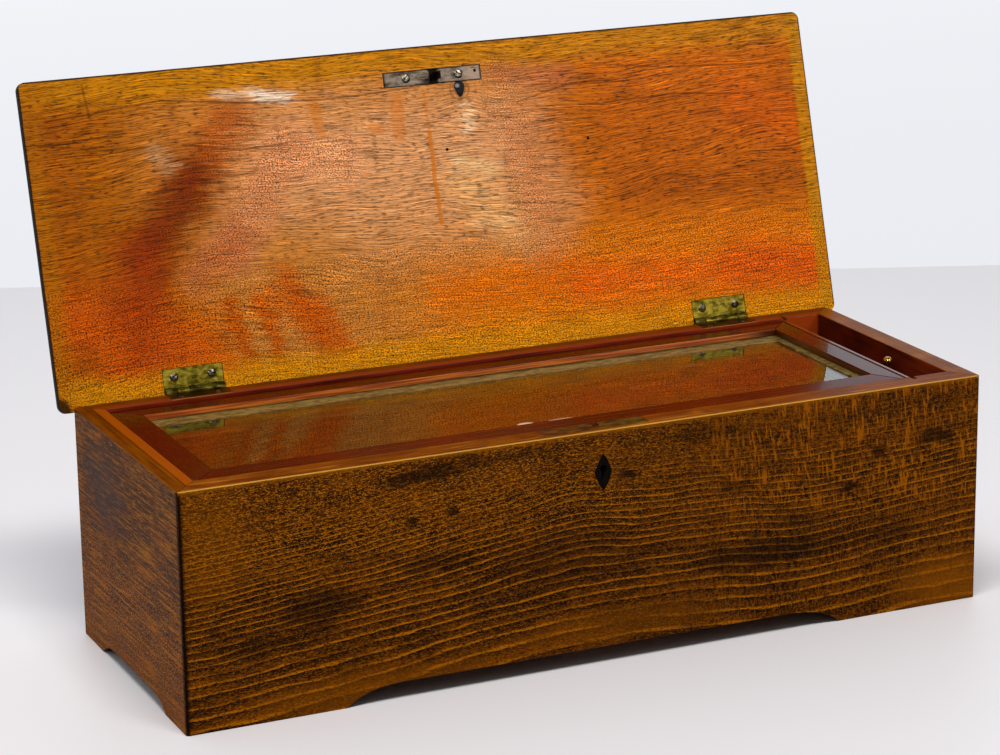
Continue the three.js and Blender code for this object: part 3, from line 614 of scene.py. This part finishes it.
glass_finish = finish(
    "window_glass",
    Base_Color=paint("e6efe2"),
    Roughness=0.01,
    IOR=1.5,
    Transmission_Weight=1.0,
)
pane_tree = glass_finish.node_tree
clear = Flow(pane_tree, pane_tree.nodes["Principled BSDF"].outputs[0])
place = Flow(pane_tree, pane_tree.nodes["Texture Coordinate"].outputs["Object"])
place = place.node("ShaderNodeVectorMath", {"operation": "SCALE"}, {0: place, "Scale": 1000})
smears, chips = smear_amount(place)
putty = putty_smear(place)
putty["Base Color"] = blend(chips, putty["Base Color"], paint("d8b894"))
dusty = clear.node("ShaderNodeBsdfPrincipled", (), putty)
amount = smears.math("MAXIMUM", chips)
mixed = clear.node("ShaderNodeMixShader", (), {0: amount, 1: clear, 2: dusty})
pane_tree.links.new(mixed.socket, pane_tree.nodes["Material Output"].inputs["Surface"])
dress(worked("glass_pane"), (glass_finish,))


# The lock, its staple plate and the hinges: tarnished brass and aged steel, filed by hand, and
# let in flush with the wood.

lid_hinge = next(joint for joint in frame["joints"] if joint["name"] == "lid_hinge")
pin = Vector(lid_hinge["pos_m"]) * 1000
lean = math.radians(max(lid_hinge["range_deg"]))
inward = Vector((0, -math.sin(lean), -math.cos(lean)))
rising = Vector((0, math.sin(lean - math.pi / 2), math.cos(lean - math.pi / 2)))
plate_corners = [vertex.co * 1000 for vertex in frame["nodes"]["strike_plate"].data.vertices]
staple_tip = max(corner.dot(inward) for corner in plate_corners)
heights = [corner.dot(rising) for corner in plate_corners]
plate_middle = (min(heights) + max(heights)) / 2


def tarnished_brass(place):
    """The lid leaves of the hinges and the lever's bracket: olive brown, scratched and pitted."""
    bloom = cloud(place, (6, 4, 4), 4, 0.62, seed=101)
    scratch = cloud(place, (6, 0.5, 0.5), 2, seed=103)
    pit = cloud(place, (0.7, 0.7, 0.7), 1, seed=107)
    body = blend(rise(bloom, 0.38, 0.66), paint("463e0c"), paint("9c8a2c"))
    body = blend(rise(scratch, 0.58, 0.7) * 0.35, body, paint("c4b058"))
    body = blend(rise(pit, 0.38, 0.28) * 0.6, body, paint("2c2a10"))
    return {
        "Base Color": body,
        "Roughness": 0.28 + bloom * 0.3,
        "Normal": relief(scratch * 0.5 + pit * 0.5, 0.05),
    }


def lock_brass(place):
    """The lock: brown with age, and greener toward the right."""
    x, _, _ = place.parts()
    bloom = cloud(place, (9, 4, 4), 4, 0.62, seed=102)
    left = blend(rise(bloom, 0.38, 0.62), paint("40270a"), paint("8c5c14"))
    right = blend(rise(bloom, 0.38, 0.62), paint("3c3008"), paint("7e6612"))
    return {"Base Color": blend(rise(x, -10, 20), left, right), "Roughness": 0.42 + bloom * 0.25}


def dark_case_brass(place):
    """The leaves on the case: dark brown, with a painted highlight along the front edge."""
    _, y, z = place.parts()
    bloom = cloud(place, (6, 3, 3), 3, 0.6, seed=104)
    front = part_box("hinge_left_case_leaf")[0].y * 1000
    body = blend(rise(bloom, 0.4, 0.62), paint("3a1a06"), paint("6a3a10"))
    # Painted highlight: a bright line along the leaf's front edge.
    edge_highlight = rise(y + (bloom - 0.5) * 0.5, front + 0.9, front + 0.3) * rise(z, rim - 1.2, rim - 0.6)
    body = blend(edge_highlight * 0.85, body, paint("d8b060"))
    knuckles = rise(y, pin.y - 3.2, pin.y - 2.2)
    green = blend(rise(bloom, 0.4, 0.6), paint("2c280c"), paint("7a6c2a"))
    body = blend(knuckles, body, green)
    return {"Base Color": body, "Roughness": 0.35 + bloom * 0.25}


def aged_steel(place):
    """Dark steel, paler to the right, and blackened round the staple up to its worn tip."""
    x, y, z = place.parts()
    bloom = cloud(place, (7, 3, 3), 4, 0.62, seed=109)
    scratch = cloud(place, (8, 0.4, 0.4), 2, seed=113)
    body = blend(rise(bloom, 0.36, 0.64), paint("3c332a"), paint("7a6e62"))
    body = blend(rise(scratch, 0.58, 0.72) * 0.35, body, paint("a89c8e"))
    body = blend(rise(x, 12, 24) * 0.5, body, paint("9c8674"))
    body = blend(rise(bloom, 0.4, 0.32) * 0.6, body, paint("2a1810"))
    reach = y * inward.y + z * inward.z - staple_tip
    aside = (x + (bloom - 0.5) * 4 - 1.4) / 3.6
    black = rise(aside * aside, 1.0, 0.36) * rise(reach, -1.0, -2.0)
    body = blend(black * 0.95, body, paint("060403"))
    up_plate = y * rising.y + z * rising.z - plate_middle
    hole = spot(x, up_plate, (26.8, 1.0), (1.1, 1.1), 0.6)
    rimmed = rise((x - 0.6).math("ABSOLUTE"), 28.2, 29.2)
    rimmed = rimmed.math("MAXIMUM", rise(up_plate.math("ABSOLUTE"), 3.3, 4.0))
    body = blend(hole.math("MAXIMUM", rimmed * 0.7), body, paint("080504"))
    return {"Base Color": body, "Roughness": 0.3 + bloom * 0.3, "Normal": relief(scratch, 0.04)}


brass = finish("tarnished_brass", tarnished_brass, Metallic=1.0)
dull_brass = finish("dark_case_brass", dark_case_brass, Metallic=1.0)
old_brass = finish("lock_brass", lock_brass, Metallic=1.0)
steel = finish("aged_steel", aged_steel, Metallic=1.0)
for node, slot, metal in (
    ("lock", "aged_brass", old_brass),
    ("hinge_left_case_leaf", "aged_brass", dull_brass),
    ("hinge_left_lid_leaf", "aged_brass", brass),
    ("hinge_right_case_leaf", "aged_brass", dull_brass),
    ("hinge_right_lid_leaf", "aged_brass", brass),
    ("strike_plate", "dark_steel", steel),
    ("lever_bracket", "aged_brass", brass),
    ("control_lever", "dark_steel", steel),
):
    dress(worked(node, 0.00012, 2, longer_than(0.003)), (metal,))


# The keyhole escutcheon: a small lozenge of black ebony, pierced for the key, and let in flush
# with the front board.


def black_ebony(place):
    grain = cloud(place, (2, 2, 8), 2, seed=127)
    body = blend(grain, paint("030202"), paint("0a0705"))
    return {"Base Color": body, "Roughness": 0.5 + grain * 0.2}


ebony = finish("ebony", black_ebony, Specular_IOR_Level=0.03)
dress(worked("keyhole_escutcheon", 0.0002, 2, longer_than(0.001)), (ebony,))


# The lever's knob: a small turned brass ball on a neck, at the upper end of the lever, and
# bright from handling.


def handled_brass(place):
    bloom = cloud(place, (3, 3, 3), 3, 0.6, seed=131)
    body = blend(rise(bloom, 0.36, 0.62), paint("a87f2c"), paint("e0be62"))
    return {"Base Color": body, "Roughness": 0.14 + bloom * 0.16}


bright_brass = finish("handled_brass", handled_brass, Metallic=1.0)
dress(worked("lever_knob"), (bright_brass,))


# The lid: one wide board of figured mahogany, its inner face varnished and glossy, with
# fine dark pores, a paler margin all round, and stained black edges.

shift = (front_low.y + back_high.y) / 2


def from_pin(y, z):
    """How far down the open lid a place lies: -88 at the free edge, 89 at the hinges."""
    return (y - pin.y) * math.cos(lean) - (z - pin.z) * math.sin(lean) + (pin.y - shift)


def stroke(across, up, start, end, width, soft=0.3):
    """1 along a straight brush stroke, fading out at its sides and ends."""
    run = Vector(end) - Vector(start)
    step = run.normalized()
    along = (across - start[0]) * step.x + (up - start[1]) * step.y
    aside = ((up - start[1]) * step.x - (across - start[0]) * step.y).math("ABSOLUTE")
    body = rise(aside, width, width * soft)
    return body * rise(along, -width, 0) * rise(along, run.length + width, run.length)


def varnished_lid(place):
    """The figure of the board, laid out by x and by the distance across the board."""
    x, y, z = place.parts()
    across = from_pin(y, z)
    flat = x.node("ShaderNodeCombineXYZ", (), {0: x, 1: across, 2: 0.0})
    knot_x, knot_w = x - 16.2, across + 63
    near_knot = bell(knot_x, 0, 13) * bell(knot_w, 0, 12)
    bend = cloud(flat, (120, 46, 1), 2, seed=137) - 0.5
    arch = bell(x, -150, 60) * 7 + bell(x, 90, 70) * -6
    wave = across + bend * 20 + arch + near_knot * rise(knot_w, -8, 8) * 9 - near_knot * 4
    grained = x.node("ShaderNodeCombineXYZ", (), {0: x, 1: wave, 2: 0.0})
    ragged = cloud(flat, (30, 20, 1), 4, 0.65, seed=139) - 0.5
    frayed = cloud(grained, (24, 1.5, 1), 3, 0.6, seed=141) - 0.5
    u = x + ragged * 20 + frayed * 26
    w = across + ragged * 14 + frayed * 3
    stripes = cloud(grained, (80, 2.6, 1), 3, 0.65, seed=149)
    silk = cloud(grained, (26, 0.8, 1), 2, 0.6, seed=153)
    left = blend(rise(u, -236, -110), paint("8e4804"), paint("bc7836"))
    body = blend(rise(u, 20, 120), left, paint("b85c08"))
    body = shade(rise(stripes, 0.46, 0.3), body, 0.55)
    body = shade(rise(stripes, 0.54, 0.7), body, 1.34)
    lowest = rise(w, 6, 46)
    body = blend(lowest * rise(u, -80, 40) * 0.7, body, paint("da7a18"))
    # Broad zones of colour: the start, end, half width, colour and strength of each stroke.
    for start, end, width, tone, amount in (
        # The first two strokes are a painted reflection: the pale, greyer haze of a broad light
        # across the middle of the board.
        ((-90, -30), (40, -30), 56, "cf9668", 0.8),
        ((-40, 0), (55, 4), 50, "d09462", 0.65),
        ((12, -10), (46, 24), 20, "e2ac6c", 0.45),
        ((46, -42), (58, 36), 24, "c07242", 0.45),
        ((40, -74), (80, -66), 17, "a8603c", 0.7),
        ((90, -30), (225, -16), 50, "a45004", 0.6),
        ((110, 4), (225, 8), 16, "8a4204", 0.5),
        ((-225, 40), (-160, 62), 38, "c05004", 0.8),
        ((-200, 70), (-150, 74), 20, "c24e04", 0.6),
        ((-6, 50), (84, 52), 22, "d86420", 0.55),
        ((80, 54), (230, 58), 20, "de5a06", 0.65),
        ((180, 54), (232, 62), 30, "c44604", 0.5),
        ((190, -40), (230, -24), 28, "c05006", 0.5),
        ((-112, 40), (-88, 56), 14, "c4500c", 0.45),
        ((-134, 42), (-128, 72), 8, "ac4206", 0.7),
        ((-118, 44), (-108, 76), 8, "b44408", 0.7),
        ((-102, 30), (-82, 74), 12, "b6501a", 0.75),
        ((-84, 48), (-72, 74), 12, "ba5018", 0.7),
        ((-128, 10), (-92, -40), 24, "c47e52", 0.85),
        ((-150, 24), (-126, 8), 18, "b06236", 0.8),
        ((-96, -34), (-58, -30), 22, "dc9464", 0.7),
        ((-122, -58), (-144, -28), 22, "a44c1c", 0.75),
        ((-147, -28), (-175, 8), 27, "6c2407", 0.9),
        ((-180, 14), (-187, 38), 30, "8a2e02", 0.85),
        ((-182, 34), (-186, 66), 26, "a03c04", 0.6),
    ):
        mask = stroke(u, w, start, end, width, 0.05)
        body = blend(mask * amount, body, paint(tone))
    top_margin = rise(across + ragged * 12 + frayed * 8, -66, -80)
    body = blend(top_margin * 0.8, body, paint("b4740c"))
    bottom_margin = rise(across + ragged * 10 + frayed * 5, 68, 80)
    body = blend(bottom_margin * 0.75, body, paint("cc8818"))
    left_margin = rise(x + ragged * 8 + frayed * 6, -222, -234)
    body = blend(left_margin * 0.75, body, paint("9c5c06"))
    right_margin = rise(x + ragged * 2, 227, 230)
    body = blend(right_margin * 0.75, body, paint("b57a0c"))
    swirl = cloud(flat, (30, 7, 1), 2, 0.6, seed=155, twist=2.2)
    swirled = spot(u, w, (205, -80), (52, 16), 0.2)
    body = blend(swirled * rise(swirl, 0.56, 0.42) * 0.45, body, paint("5e3206"))
    figure = cloud(flat, (10, 60, 1), 2, seed=151)
    body = blend(rise(figure, 0.44, 0.32) * rise(u, 20, -60) * 0.16, body, paint("7a2c0c"))
    # Pale gleams in the varnish.
    for start, end, width, tone, amount in (
        ((-128, -73), (-98, -69), 5, "e8d0b0", 0.4),
        ((-104, -70), (-86, -67), 5, "f6e6d0", 0.62),
        ((-166, -44), (-160, -38), 9, "cbb18e", 0.25),
        ((18, -52), (20, -40), 5, "eccba0", 0.6),
        ((10, -22), (30, -16), 8, "e6bd86", 0.5),
        ((14, 14), (40, 14), 4, "eec28a", 0.25),
    ):
        gleam = stroke(x + frayed * 34, across + ragged * 12, start, end, width, 0.1)
        body = blend(gleam * amount, body, paint(tone))
    # Where dark dots and pale flecks take the place of long pores.
    mottled = rise(w, 14, 30)
    for start, end, width, amount in (
        ((-128, 10), (-92, -40), 18, 1.0),
        ((-152, 26), (-126, 8), 16, 1.0),
        ((-96, -36), (-58, -30), 20, 0.9),
        ((-118, -58), (-178, 24), 18, 0.6),
        ((40, -70), (56, 30), 18, 0.8),
        ((-110, 50), (-76, 66), 18, 0.6),
    ):
        mottled = mottled.math("MAXIMUM", stroke(u, w, start, end, width) * amount)
    dashes = cloud(grained, (4.6, 0.62, 1), 2, 0.5, seed=163)
    longer = cloud(grained, (9, 0.7, 1), 2, 0.5, seed=165)
    dots = cloud(grained, (0.95, 0.62, 1), 1, seed=167)
    long_dark = cloud(grained, (60, 1.1, 1), 2, 0.62, seed=173)
    lines = cloud(grained, (15, 0.5, 1), 2, 0.6, seed=161)
    body = shade(rise(lines, 0.48, 0.36) * (mottled * -0.5 + 1), body, 0.42)
    body = shade(rise(lines, 0.54, 0.66) * (mottled * -0.5 + 1), body, 1.32)
    body = shade(rise(silk, 0.48, 0.3), body, 0.46)
    body = shade(rise(silk, 0.53, 0.68), body, 1.4)
    upper = spot(u, w, (-170, -50), (110, 50), 0.2) + spot(u, w, (150, -50), (120, 40), 0.2)
    body = blend(rise(long_dark, 0.4, 0.32) * (upper * 0.65 + 0.15), body, paint("44200a"))
    pores = rise(dashes, 0.46, 0.34)
    body = shade(pores * (mottled * -0.5 + 1), body, 0.3)
    body = blend(rise(longer, 0.38, 0.28) * (mottled * -0.7 + 1) * 0.7, body, paint("3c1606"))
    body = shade(rise(dots, 0.49, 0.37) * mottled, body, 0.2)
    body = shade(rise(dots, 0.53, 0.66) * mottled, body, 1.45)
    # Hairline splits.
    for start, end, width, amount in (
        ((-225, -66), (-160, -72), 0.9, 0.5),
        ((-160, -72), (-105, -66), 0.9, 0.6),
        ((-105, -66), (-60, -64), 0.9, 0.6),
        ((-60, -64), (-8, -66), 0.8, 0.5),
        ((-150, -47), (-118, -41), 0.9, 0.5),
        ((-118, -41), (-90, -42), 1.0, 0.6),
        ((50, -52), (82, -59), 0.8, 0.5),
        ((82, -59), (122, -58), 0.8, 0.6),
        ((104, -47), (150, -48), 0.8, 0.6),
        ((150, -48), (192, -44), 0.8, 0.6),
        ((96, -70), (142, -64), 0.8, 0.5),
        ((142, -64), (232, -59), 0.8, 0.5),
        ((-202, -84), (-200, -66), 1.2, 0.45),
    ):
        vein = stroke(x, across + bend * 3, start, end, width, 0.2)
        body = blend(vein * amount, body, paint("3e1a06"))
    # Drips and dabs of amber varnish.
    for start, end, width, amount in (
        ((-5.6, -40), (-5.0, 11), 1.7, 0.7),
        ((-5.6, -64), (-5.4, -40), 1.3, 0.35),
        ((-22, -60), (-24, -40), 5.0, 0.4),
        ((-40, -46), (-34, -44), 3.5, 0.35),
        ((-72, -62), (-70, -46), 4.0, 0.4),
    ):
        drop = stroke(x + ragged * 4, across + ragged * 8, start, end, width, 0.5)
        body = blend(drop * amount, body, paint("bd6408"))
    ring = (knot_x * knot_x + knot_w * knot_w * 0.8).math("SQRT")
    halo = (ring * 1.5 + ragged * 9).math("SINE") * bell(ring, 0, 10)
    body = blend(rise(halo, 0.1, 0.8) * 0.5, body, paint("6a3410"))
    wide = knot_x / (rise(knot_w, -4, 6) * -1.7 + 3.6)
    high = (knot_w - 0.2) / 4.9
    egg = wide * wide + high * high + ragged * 0.7
    body = blend(rise(egg, 2.6, 1.0) * 0.5, body, paint("3a1e10"))
    knot = rise(egg, 1.05, 0.8)
    body = blend(knot, body, paint("0a0808"))
    glint = spot(knot_x, knot_w, (-1.2, -1.6), (1.8, 1.5), 0.2)
    body = blend(knot * glint * 0.8, body, paint("7c8894"))
    nails = spot(x, across, (4, -29.5), (1.2, 1.2)) + spot(x, across, (91.5, -27.5), (1.2, 1.2))
    body = blend(nails, body, paint("160a06"))
    frame_line = rise(x.math("ABSOLUTE") + ragged * 0.8, 236.2, 236.9)
    frame_line = frame_line.math("MAXIMUM", rise(across + ragged * 0.8, -87.2, -87.9))
    frame_line = frame_line.math("MAXIMUM", spot(x, across, (-238, 88), (9, 9), 0.6))
    body = blend(frame_line * 0.9, body, paint("0d0704"))
    wet = cloud(flat, (30, 20, 1), 1, seed=179)
    return {
        "Base Color": enrich(body, saturation=1.03, value=1.08),
        "Roughness": 0.3 + wet * 0.16 - knot * 0.2,
        "Normal": relief(pores * -0.5 + stripes * 0.2, 0.08),
    }


def black_lid_edge(place):
    """The black stain round the rim, rubbed brown in places."""
    wear = cloud(place, (12, 4, 2), 3, 0.6, seed=181)
    body = blend(rise(wear, 0.6, 0.75) * 0.5, paint("0c0805"), paint("4a280e"))
    return {"Base Color": body, "Roughness": 0.45}


def lid_top(place):
    """The outside of the lid: the same dark stain as the front, over plain straight figure."""
    grain = cloud(place, (90, 3, 3), 3, 0.6, seed=191, twist=0.6)
    speck = cloud(place, (8, 1.2, 1.2), 2, 0.6, seed=193)
    body = blend(rise(grain, 0.36, 0.64), paint("3a1c0a"), paint("7a4216"))
    body = blend(rise(speck, 0.45, 0.34) * 0.6, body, paint("1a0c05"))
    body = enrich(body, saturation=1.15, value=0.85)
    return {"Base Color": body, "Roughness": 0.4 + grain * 0.15, "Normal": relief(speck, 0.1)}


def lid_outline(edge):
    """Whether an edge runs round the rim of the lid, clear of the seats cut into its face."""
    x, y, z = (edge.verts[0].co + edge.verts[1].co) * 500
    across = from_pin(y, z)
    return abs(x) > 230 or across < -83 or across > 87.6


def lid_faces(normal):
    """0 on the varnished inner face, 2 on the outside, 1 on the edges."""
    if normal.dot(inward) > 0.85:
        return 0
    return 2 if normal.dot(inward) < -0.9 else 1


lid_finishes = (
    finish("lid_varnish", varnished_lid, Specular_IOR_Level=0.06),
    finish("lid_black_edge", black_lid_edge, Specular_IOR_Level=0.02),
    finish("lid_top", lid_top, Specular_IOR_Level=0.1, Coat_Weight=0.12, Coat_Roughness=0.2),
)
dress(worked("lid_board", 0.0004, 2, lid_outline), lid_finishes, lid_faces)


# The screws: small steel wood screws with slotted countersunk heads, two in each leaf of the
# hinges and two in the staple plate. Every head is turned its own way.


def screw_tree(name, material, slot_material):
    """Puts a slotted screw on each point, along its own direction, and turned by its own angle."""
    tree = bpy.data.node_groups.new(name, "GeometryNodeTree")
    face = tree.interface
    face.new_socket("Geometry", in_out="INPUT", socket_type="NodeSocketGeometry")
    face.new_socket("Geometry", in_out="OUTPUT", socket_type="NodeSocketGeometry")
    sizes = {}
    for label, value in (
        ("Head Radius", 0.0018),
        ("Head Depth", 0.0011),
        ("Shank Radius", 0.0009),
        ("Length", 0.0055),
        ("Slot Width", 0.0007),
        ("Slot Depth", 0.0007),
        ("Dome Height", 0.00018),
    ):
        socket = face.new_socket(label, in_out="INPUT", socket_type="NodeSocketFloat")
        socket.default_value = value
        sizes[label] = socket.identifier

    def add(kind, settings=(), inputs=()):
        made = tree.nodes.new(kind)
        for key, value in dict(settings).items():
            setattr(made, key, value)
        for key, value in dict(inputs).items():
            if isinstance(value, bpy.types.NodeSocket):
                tree.links.new(value, made.inputs[key])
            else:
                made.inputs[key].default_value = value
        return made

    given = add("NodeGroupInput")
    size = given.outputs

    def calc(operation, *values):
        return add("ShaderNodeMath", {"operation": operation}, dict(enumerate(values))).outputs[0]

    def moved(form, height):
        offset = add("ShaderNodeCombineXYZ", (), {2: height})
        inputs = {"Geometry": form.outputs["Mesh"], "Translation": offset.outputs[0]}
        return add("GeometryNodeTransform", (), inputs)

    head = add(
        "GeometryNodeMeshCone",
        {"fill_type": "NGON"},
        {
            "Vertices": 28,
            "Radius Top": size["Head Radius"],
            "Radius Bottom": size["Shank Radius"],
            "Depth": size["Head Depth"],
        },
    )
    head_low = moved(head, calc("MULTIPLY", size["Head Depth"], -1.0))
    dome = add(
        "GeometryNodeMeshCone",
        {"fill_type": "NGON"},
        {
            "Vertices": 28,
            "Radius Top": calc("MULTIPLY", size["Head Radius"], 0.8),
            "Radius Bottom": size["Head Radius"],
            "Depth": size["Dome Height"],
        },
    )
    shank = add(
        "GeometryNodeMeshCone",
        {"fill_type": "NGON"},
        {
            "Vertices": 16,
            "Radius Top": size["Shank Radius"],
            "Radius Bottom": calc("MULTIPLY", size["Shank Radius"], 0.5),
            "Depth": calc("SUBTRACT", size["Length"], size["Head Depth"]),
        },
    )
    shank_low = moved(shank, calc("MULTIPLY", size["Length"], -1.0))
    whole = add("GeometryNodeMeshBoolean", {"operation": "UNION", "solver": "EXACT"})
    for part in (head_low, shank_low):
        tree.links.new(part.outputs[0], whole.inputs["Mesh 2"])
    tree.links.new(dome.outputs["Mesh"], whole.inputs["Mesh 2"])
    slot_size = add(
        "ShaderNodeCombineXYZ",
        (),
        {
            0: calc("MULTIPLY", size["Head Radius"], 3.0),
            1: size["Slot Width"],
            2: calc("MULTIPLY", size["Slot Depth"], 2.0),
        },
    )
    slot = add("GeometryNodeMeshCube", (), {"Size": slot_size.outputs[0]})
    raised_slot = moved(slot, size["Dome Height"])
    steel = add(
        "GeometryNodeSetMaterial", (), {"Geometry": whole.outputs["Mesh"], "Material": material}
    )
    blackened_slot = add(
        "GeometryNodeSetMaterial",
        (),
        {"Geometry": raised_slot.outputs[0], "Material": slot_material},
    )
    cut = add("GeometryNodeMeshBoolean", {"operation": "DIFFERENCE", "solver": "EXACT"})
    tree.links.new(steel.outputs[0], cut.inputs["Mesh 1"])
    tree.links.new(blackened_slot.outputs[0], cut.inputs["Mesh 2"])
    vector, number = {"data_type": "FLOAT_VECTOR"}, {"data_type": "FLOAT"}
    facing = add("GeometryNodeInputNamedAttribute", vector, {"Name": "facing"})
    turn = add("GeometryNodeInputNamedAttribute", number, {"Name": "turn"})
    upright = add("FunctionNodeAlignRotationToVector", {"axis": "Z"}, {"Vector": facing.outputs[0]})
    spun = add(
        "FunctionNodeRotateRotation",
        {"rotation_space": "LOCAL"},
        {"Rotation": upright.outputs[0]},
    )
    about = add(
        "FunctionNodeAxisAngleToRotation", (), {"Axis": (0.0, 0.0, 1.0), "Angle": turn.outputs[0]}
    )
    tree.links.new(about.outputs[0], spun.inputs["Rotate By"])
    set_out = add(
        "GeometryNodeInstanceOnPoints",
        (),
        {"Points": size["Geometry"], "Instance": cut.outputs["Mesh"], "Rotation": spun.outputs[0]},
    )
    real = add("GeometryNodeRealizeInstances", (), {"Geometry": set_out.outputs[0]})
    out = add("NodeGroupOutput")
    tree.links.new(real.outputs[0], out.inputs["Geometry"])
    return tree, sizes


def screw_steel(pale, dark):
    """Scratched steel, somewhere between a pale and a dark tone."""

    def build(place):
        bloom = cloud(place, (1.5, 1.5, 1.5), 3, 0.6, seed=197)
        scratch = cloud(place, (2.5, 0.2, 0.2), 1, seed=199)
        body = blend(rise(bloom, 0.4, 0.62), paint(dark), paint(pale))
        body = blend(rise(scratch, 0.4, 0.3) * 0.5, body, paint("3a332a"))
        return {"Base Color": body, "Roughness": 0.25 + bloom * 0.25}

    return build


# The screw slots are painted near black.
slot_black = finish("slot_black", Base_Color=paint("0a0705"), Roughness=0.7)
bright_steel = finish("bright_steel", screw_steel("cfc8b8", "8d8472"), Metallic=1.0)
dull_steel = finish("dull_steel", screw_steel("a09888", "453f36"), Metallic=1.0)
up = Vector((0, 0, 1))
below_flush = 0.00025
screw_sets = (
    ("case_hinge_screws", "case", up, "hinge", "case_screw", 0.0018, dull_steel),
    ("lid_hinge_screws", "lid", inward, "hinge", "lid_screw", 0.0018, dull_steel),
    ("strike_screws", "lid", inward, "strike", "screw", 0.0020, bright_steel),
)
for name, body, direction, first, second, radius, metal in screw_sets:
    screws, screw_sizes = screw_tree(name, metal, slot_black)
    nodes = sorted(n for n in frame["nodes"] if n.startswith(first) and second in n)
    points = bpy.data.meshes.new(name + "_points")
    places = []
    for node in nodes:
        top = max(vertex.co.dot(direction) for vertex in frame["nodes"][node].data.vertices)
        low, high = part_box(node)
        middle = (low + high) / 2
        level = top - below_flush
        places.append(middle + direction * (level - middle.dot(direction)))
    points.from_pydata(places, [], [])
    points.attributes.new("facing", "FLOAT_VECTOR", "POINT")
    points.attributes.new("turn", "FLOAT", "POINT")
    for index in range(len(places)):
        points.attributes["facing"].data[index].vector = direction
        points.attributes["turn"].data[index].value = 0.7 + index * 1.9
    pilots = bpy.data.objects.new(name + "_points", points)
    bpy.context.scene.collection.objects.link(pilots)
    grown = pilots.modifiers.new("screws", "NODES")
    grown.node_group = screws
    grown[screw_sizes["Head Radius"]] = radius
    bpy.context.view_layer.update()
    evaluated = pilots.evaluated_get(bpy.context.evaluated_depsgraph_get())
    mesh = bpy.data.meshes.new_from_object(evaluated)
    mesh.name = name
    bpy.data.objects.remove(pilots)
    mesh.shade_smooth()
    mesh.set_sharp_from_angle(angle=math.radians(30))
    piece = bpy.data.objects.new(name, mesh)
    bpy.context.scene.collection.objects.link(piece)
    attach(piece, body)
    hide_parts(*nodes)


# The table and the studio: a plain pale table top in front of a pale backdrop, lit by large
# soft lights from the front, and the camera at the height of someone standing at the table.


def ground(name, corners, height, look):
    mesh = bpy.data.meshes.new(name)
    mesh.from_pydata([(x, y, height) for x, y in corners], [], [range(len(corners))])
    mesh.update()
    floor = bpy.data.objects.new(name, mesh)
    bpy.context.scene.collection.objects.link(floor)
    mesh.materials.append(look)
    return floor


def backdrop_glow(place):
    """A backdrop lit by lamps of its own, a little brighter further up."""
    _, y, _ = place.parts()
    lit = blend(rise(y, 300, 3600), paint("e4e6eb"), paint("f1f2f6"))
    return {"Emission Color": lit}


# The table ends at a slanting edge behind the box, where the backdrop begins.
table_corners = [(-3.5, -4), (5, -4), (5, -1.2), (0.662, 0.53), (-0.056, 0.824), (-3.5, 2.24)]
table = finish("table_top", Base_Color=paint("f5f5f8"), Roughness=0.5)
far = finish(
    "backdrop", backdrop_glow, Base_Color=paint("202022"), Roughness=0.9, Emission_Strength=1.0
)
table_top = ground("table_top", table_corners, 0.0, table)
ground("backdrop", [(-14, -12), (14, -12), (14, 14), (-14, 14)], -0.02, far)

# The room: dark in front, pale behind, with a greyer ceiling.
scene = bpy.context.scene
scene.view_settings.view_transform = "Standard"
world = bpy.data.worlds.new("pale_studio")
world.use_nodes = True
sky = world.node_tree
outward = Flow(sky, sky.nodes.new("ShaderNodeTexCoord").outputs["Generated"])
_, toward_back, upward_share = outward.parts()
wall = rise(toward_back, -0.35, 0.25)
ceiling = rise(upward_share, 0.3, 0.8)
pale = blend(wall, paint("1c1c1e"), paint("f4f5fa"))
pale = blend(ceiling * 0.8, pale, paint("85878c"))
sky.links.new(pale.socket, sky.nodes["Background"].inputs["Color"])
scene.world = world

# Three boxes light everything but the table. The table has a box of its own high above it, so
# that it is dark under the case.
spared = bpy.data.collections.new("everything_but_the_table")
alone = bpy.data.collections.new("the_table_alone")
for group in (spared, alone):
    group.objects.link(table_top)
spared.collection_objects[0].light_linking.link_state = "EXCLUDE"
aimed_at = Vector((0, 0, 0.12))
for name, position, size, power, tint, lit in (
    ("front_left_softbox", (-1.3, -2.2, 2.0), (1.3, 1.3), 66, "fffaf6", spared),
    ("front_right_softbox", (1.5, -2.2, 1.7), (1.1, 1.1), 34, "fffaf6", spared),
    ("overhead_softbox", (0.0, 0.5, 2.4), (2.0, 1.4), 6, "f4f6ff", spared),
    ("table_softbox", (-0.35, -0.75, 2.6), (1.6, 0.5), 52, "fffaf6", alone),
):
    lamp = bpy.data.lights.new(name, "AREA")
    lamp.shape = "RECTANGLE"
    lamp.size, lamp.size_y = size
    lamp.energy = power
    lamp.color = paint(tint)[:3]
    box_light = bpy.data.objects.new(name, lamp)
    box_light.location = position
    aim = aimed_at - Vector(position)
    box_light.rotation_euler = aim.to_track_quat("-Z", "Y").to_euler()
    box_light.light_linking.receiver_collection = lit
    scene.collection.objects.link(box_light)

# The camera, solved from the straight edges of the case.
lens = bpy.data.cameras.new("camera")
lens.sensor_width = 36
lens.lens = 117.13
camera = bpy.data.objects.new("camera", lens)
rightward = Vector((0.90960337, -0.41524985, -0.01375778))
upward = Vector((0.12495475, 0.24183269, 0.96223867))
backward = Vector((-0.39624239, -0.87697463, 0.27185927))
stand = Matrix((rightward, upward, backward)).transposed().to_4x4()
stand.translation = Vector((-0.70757, -1.52519 + shift / 1000, 0.61031))
camera.matrix_world = stand
scene.collection.objects.link(camera)
scene.camera = camera
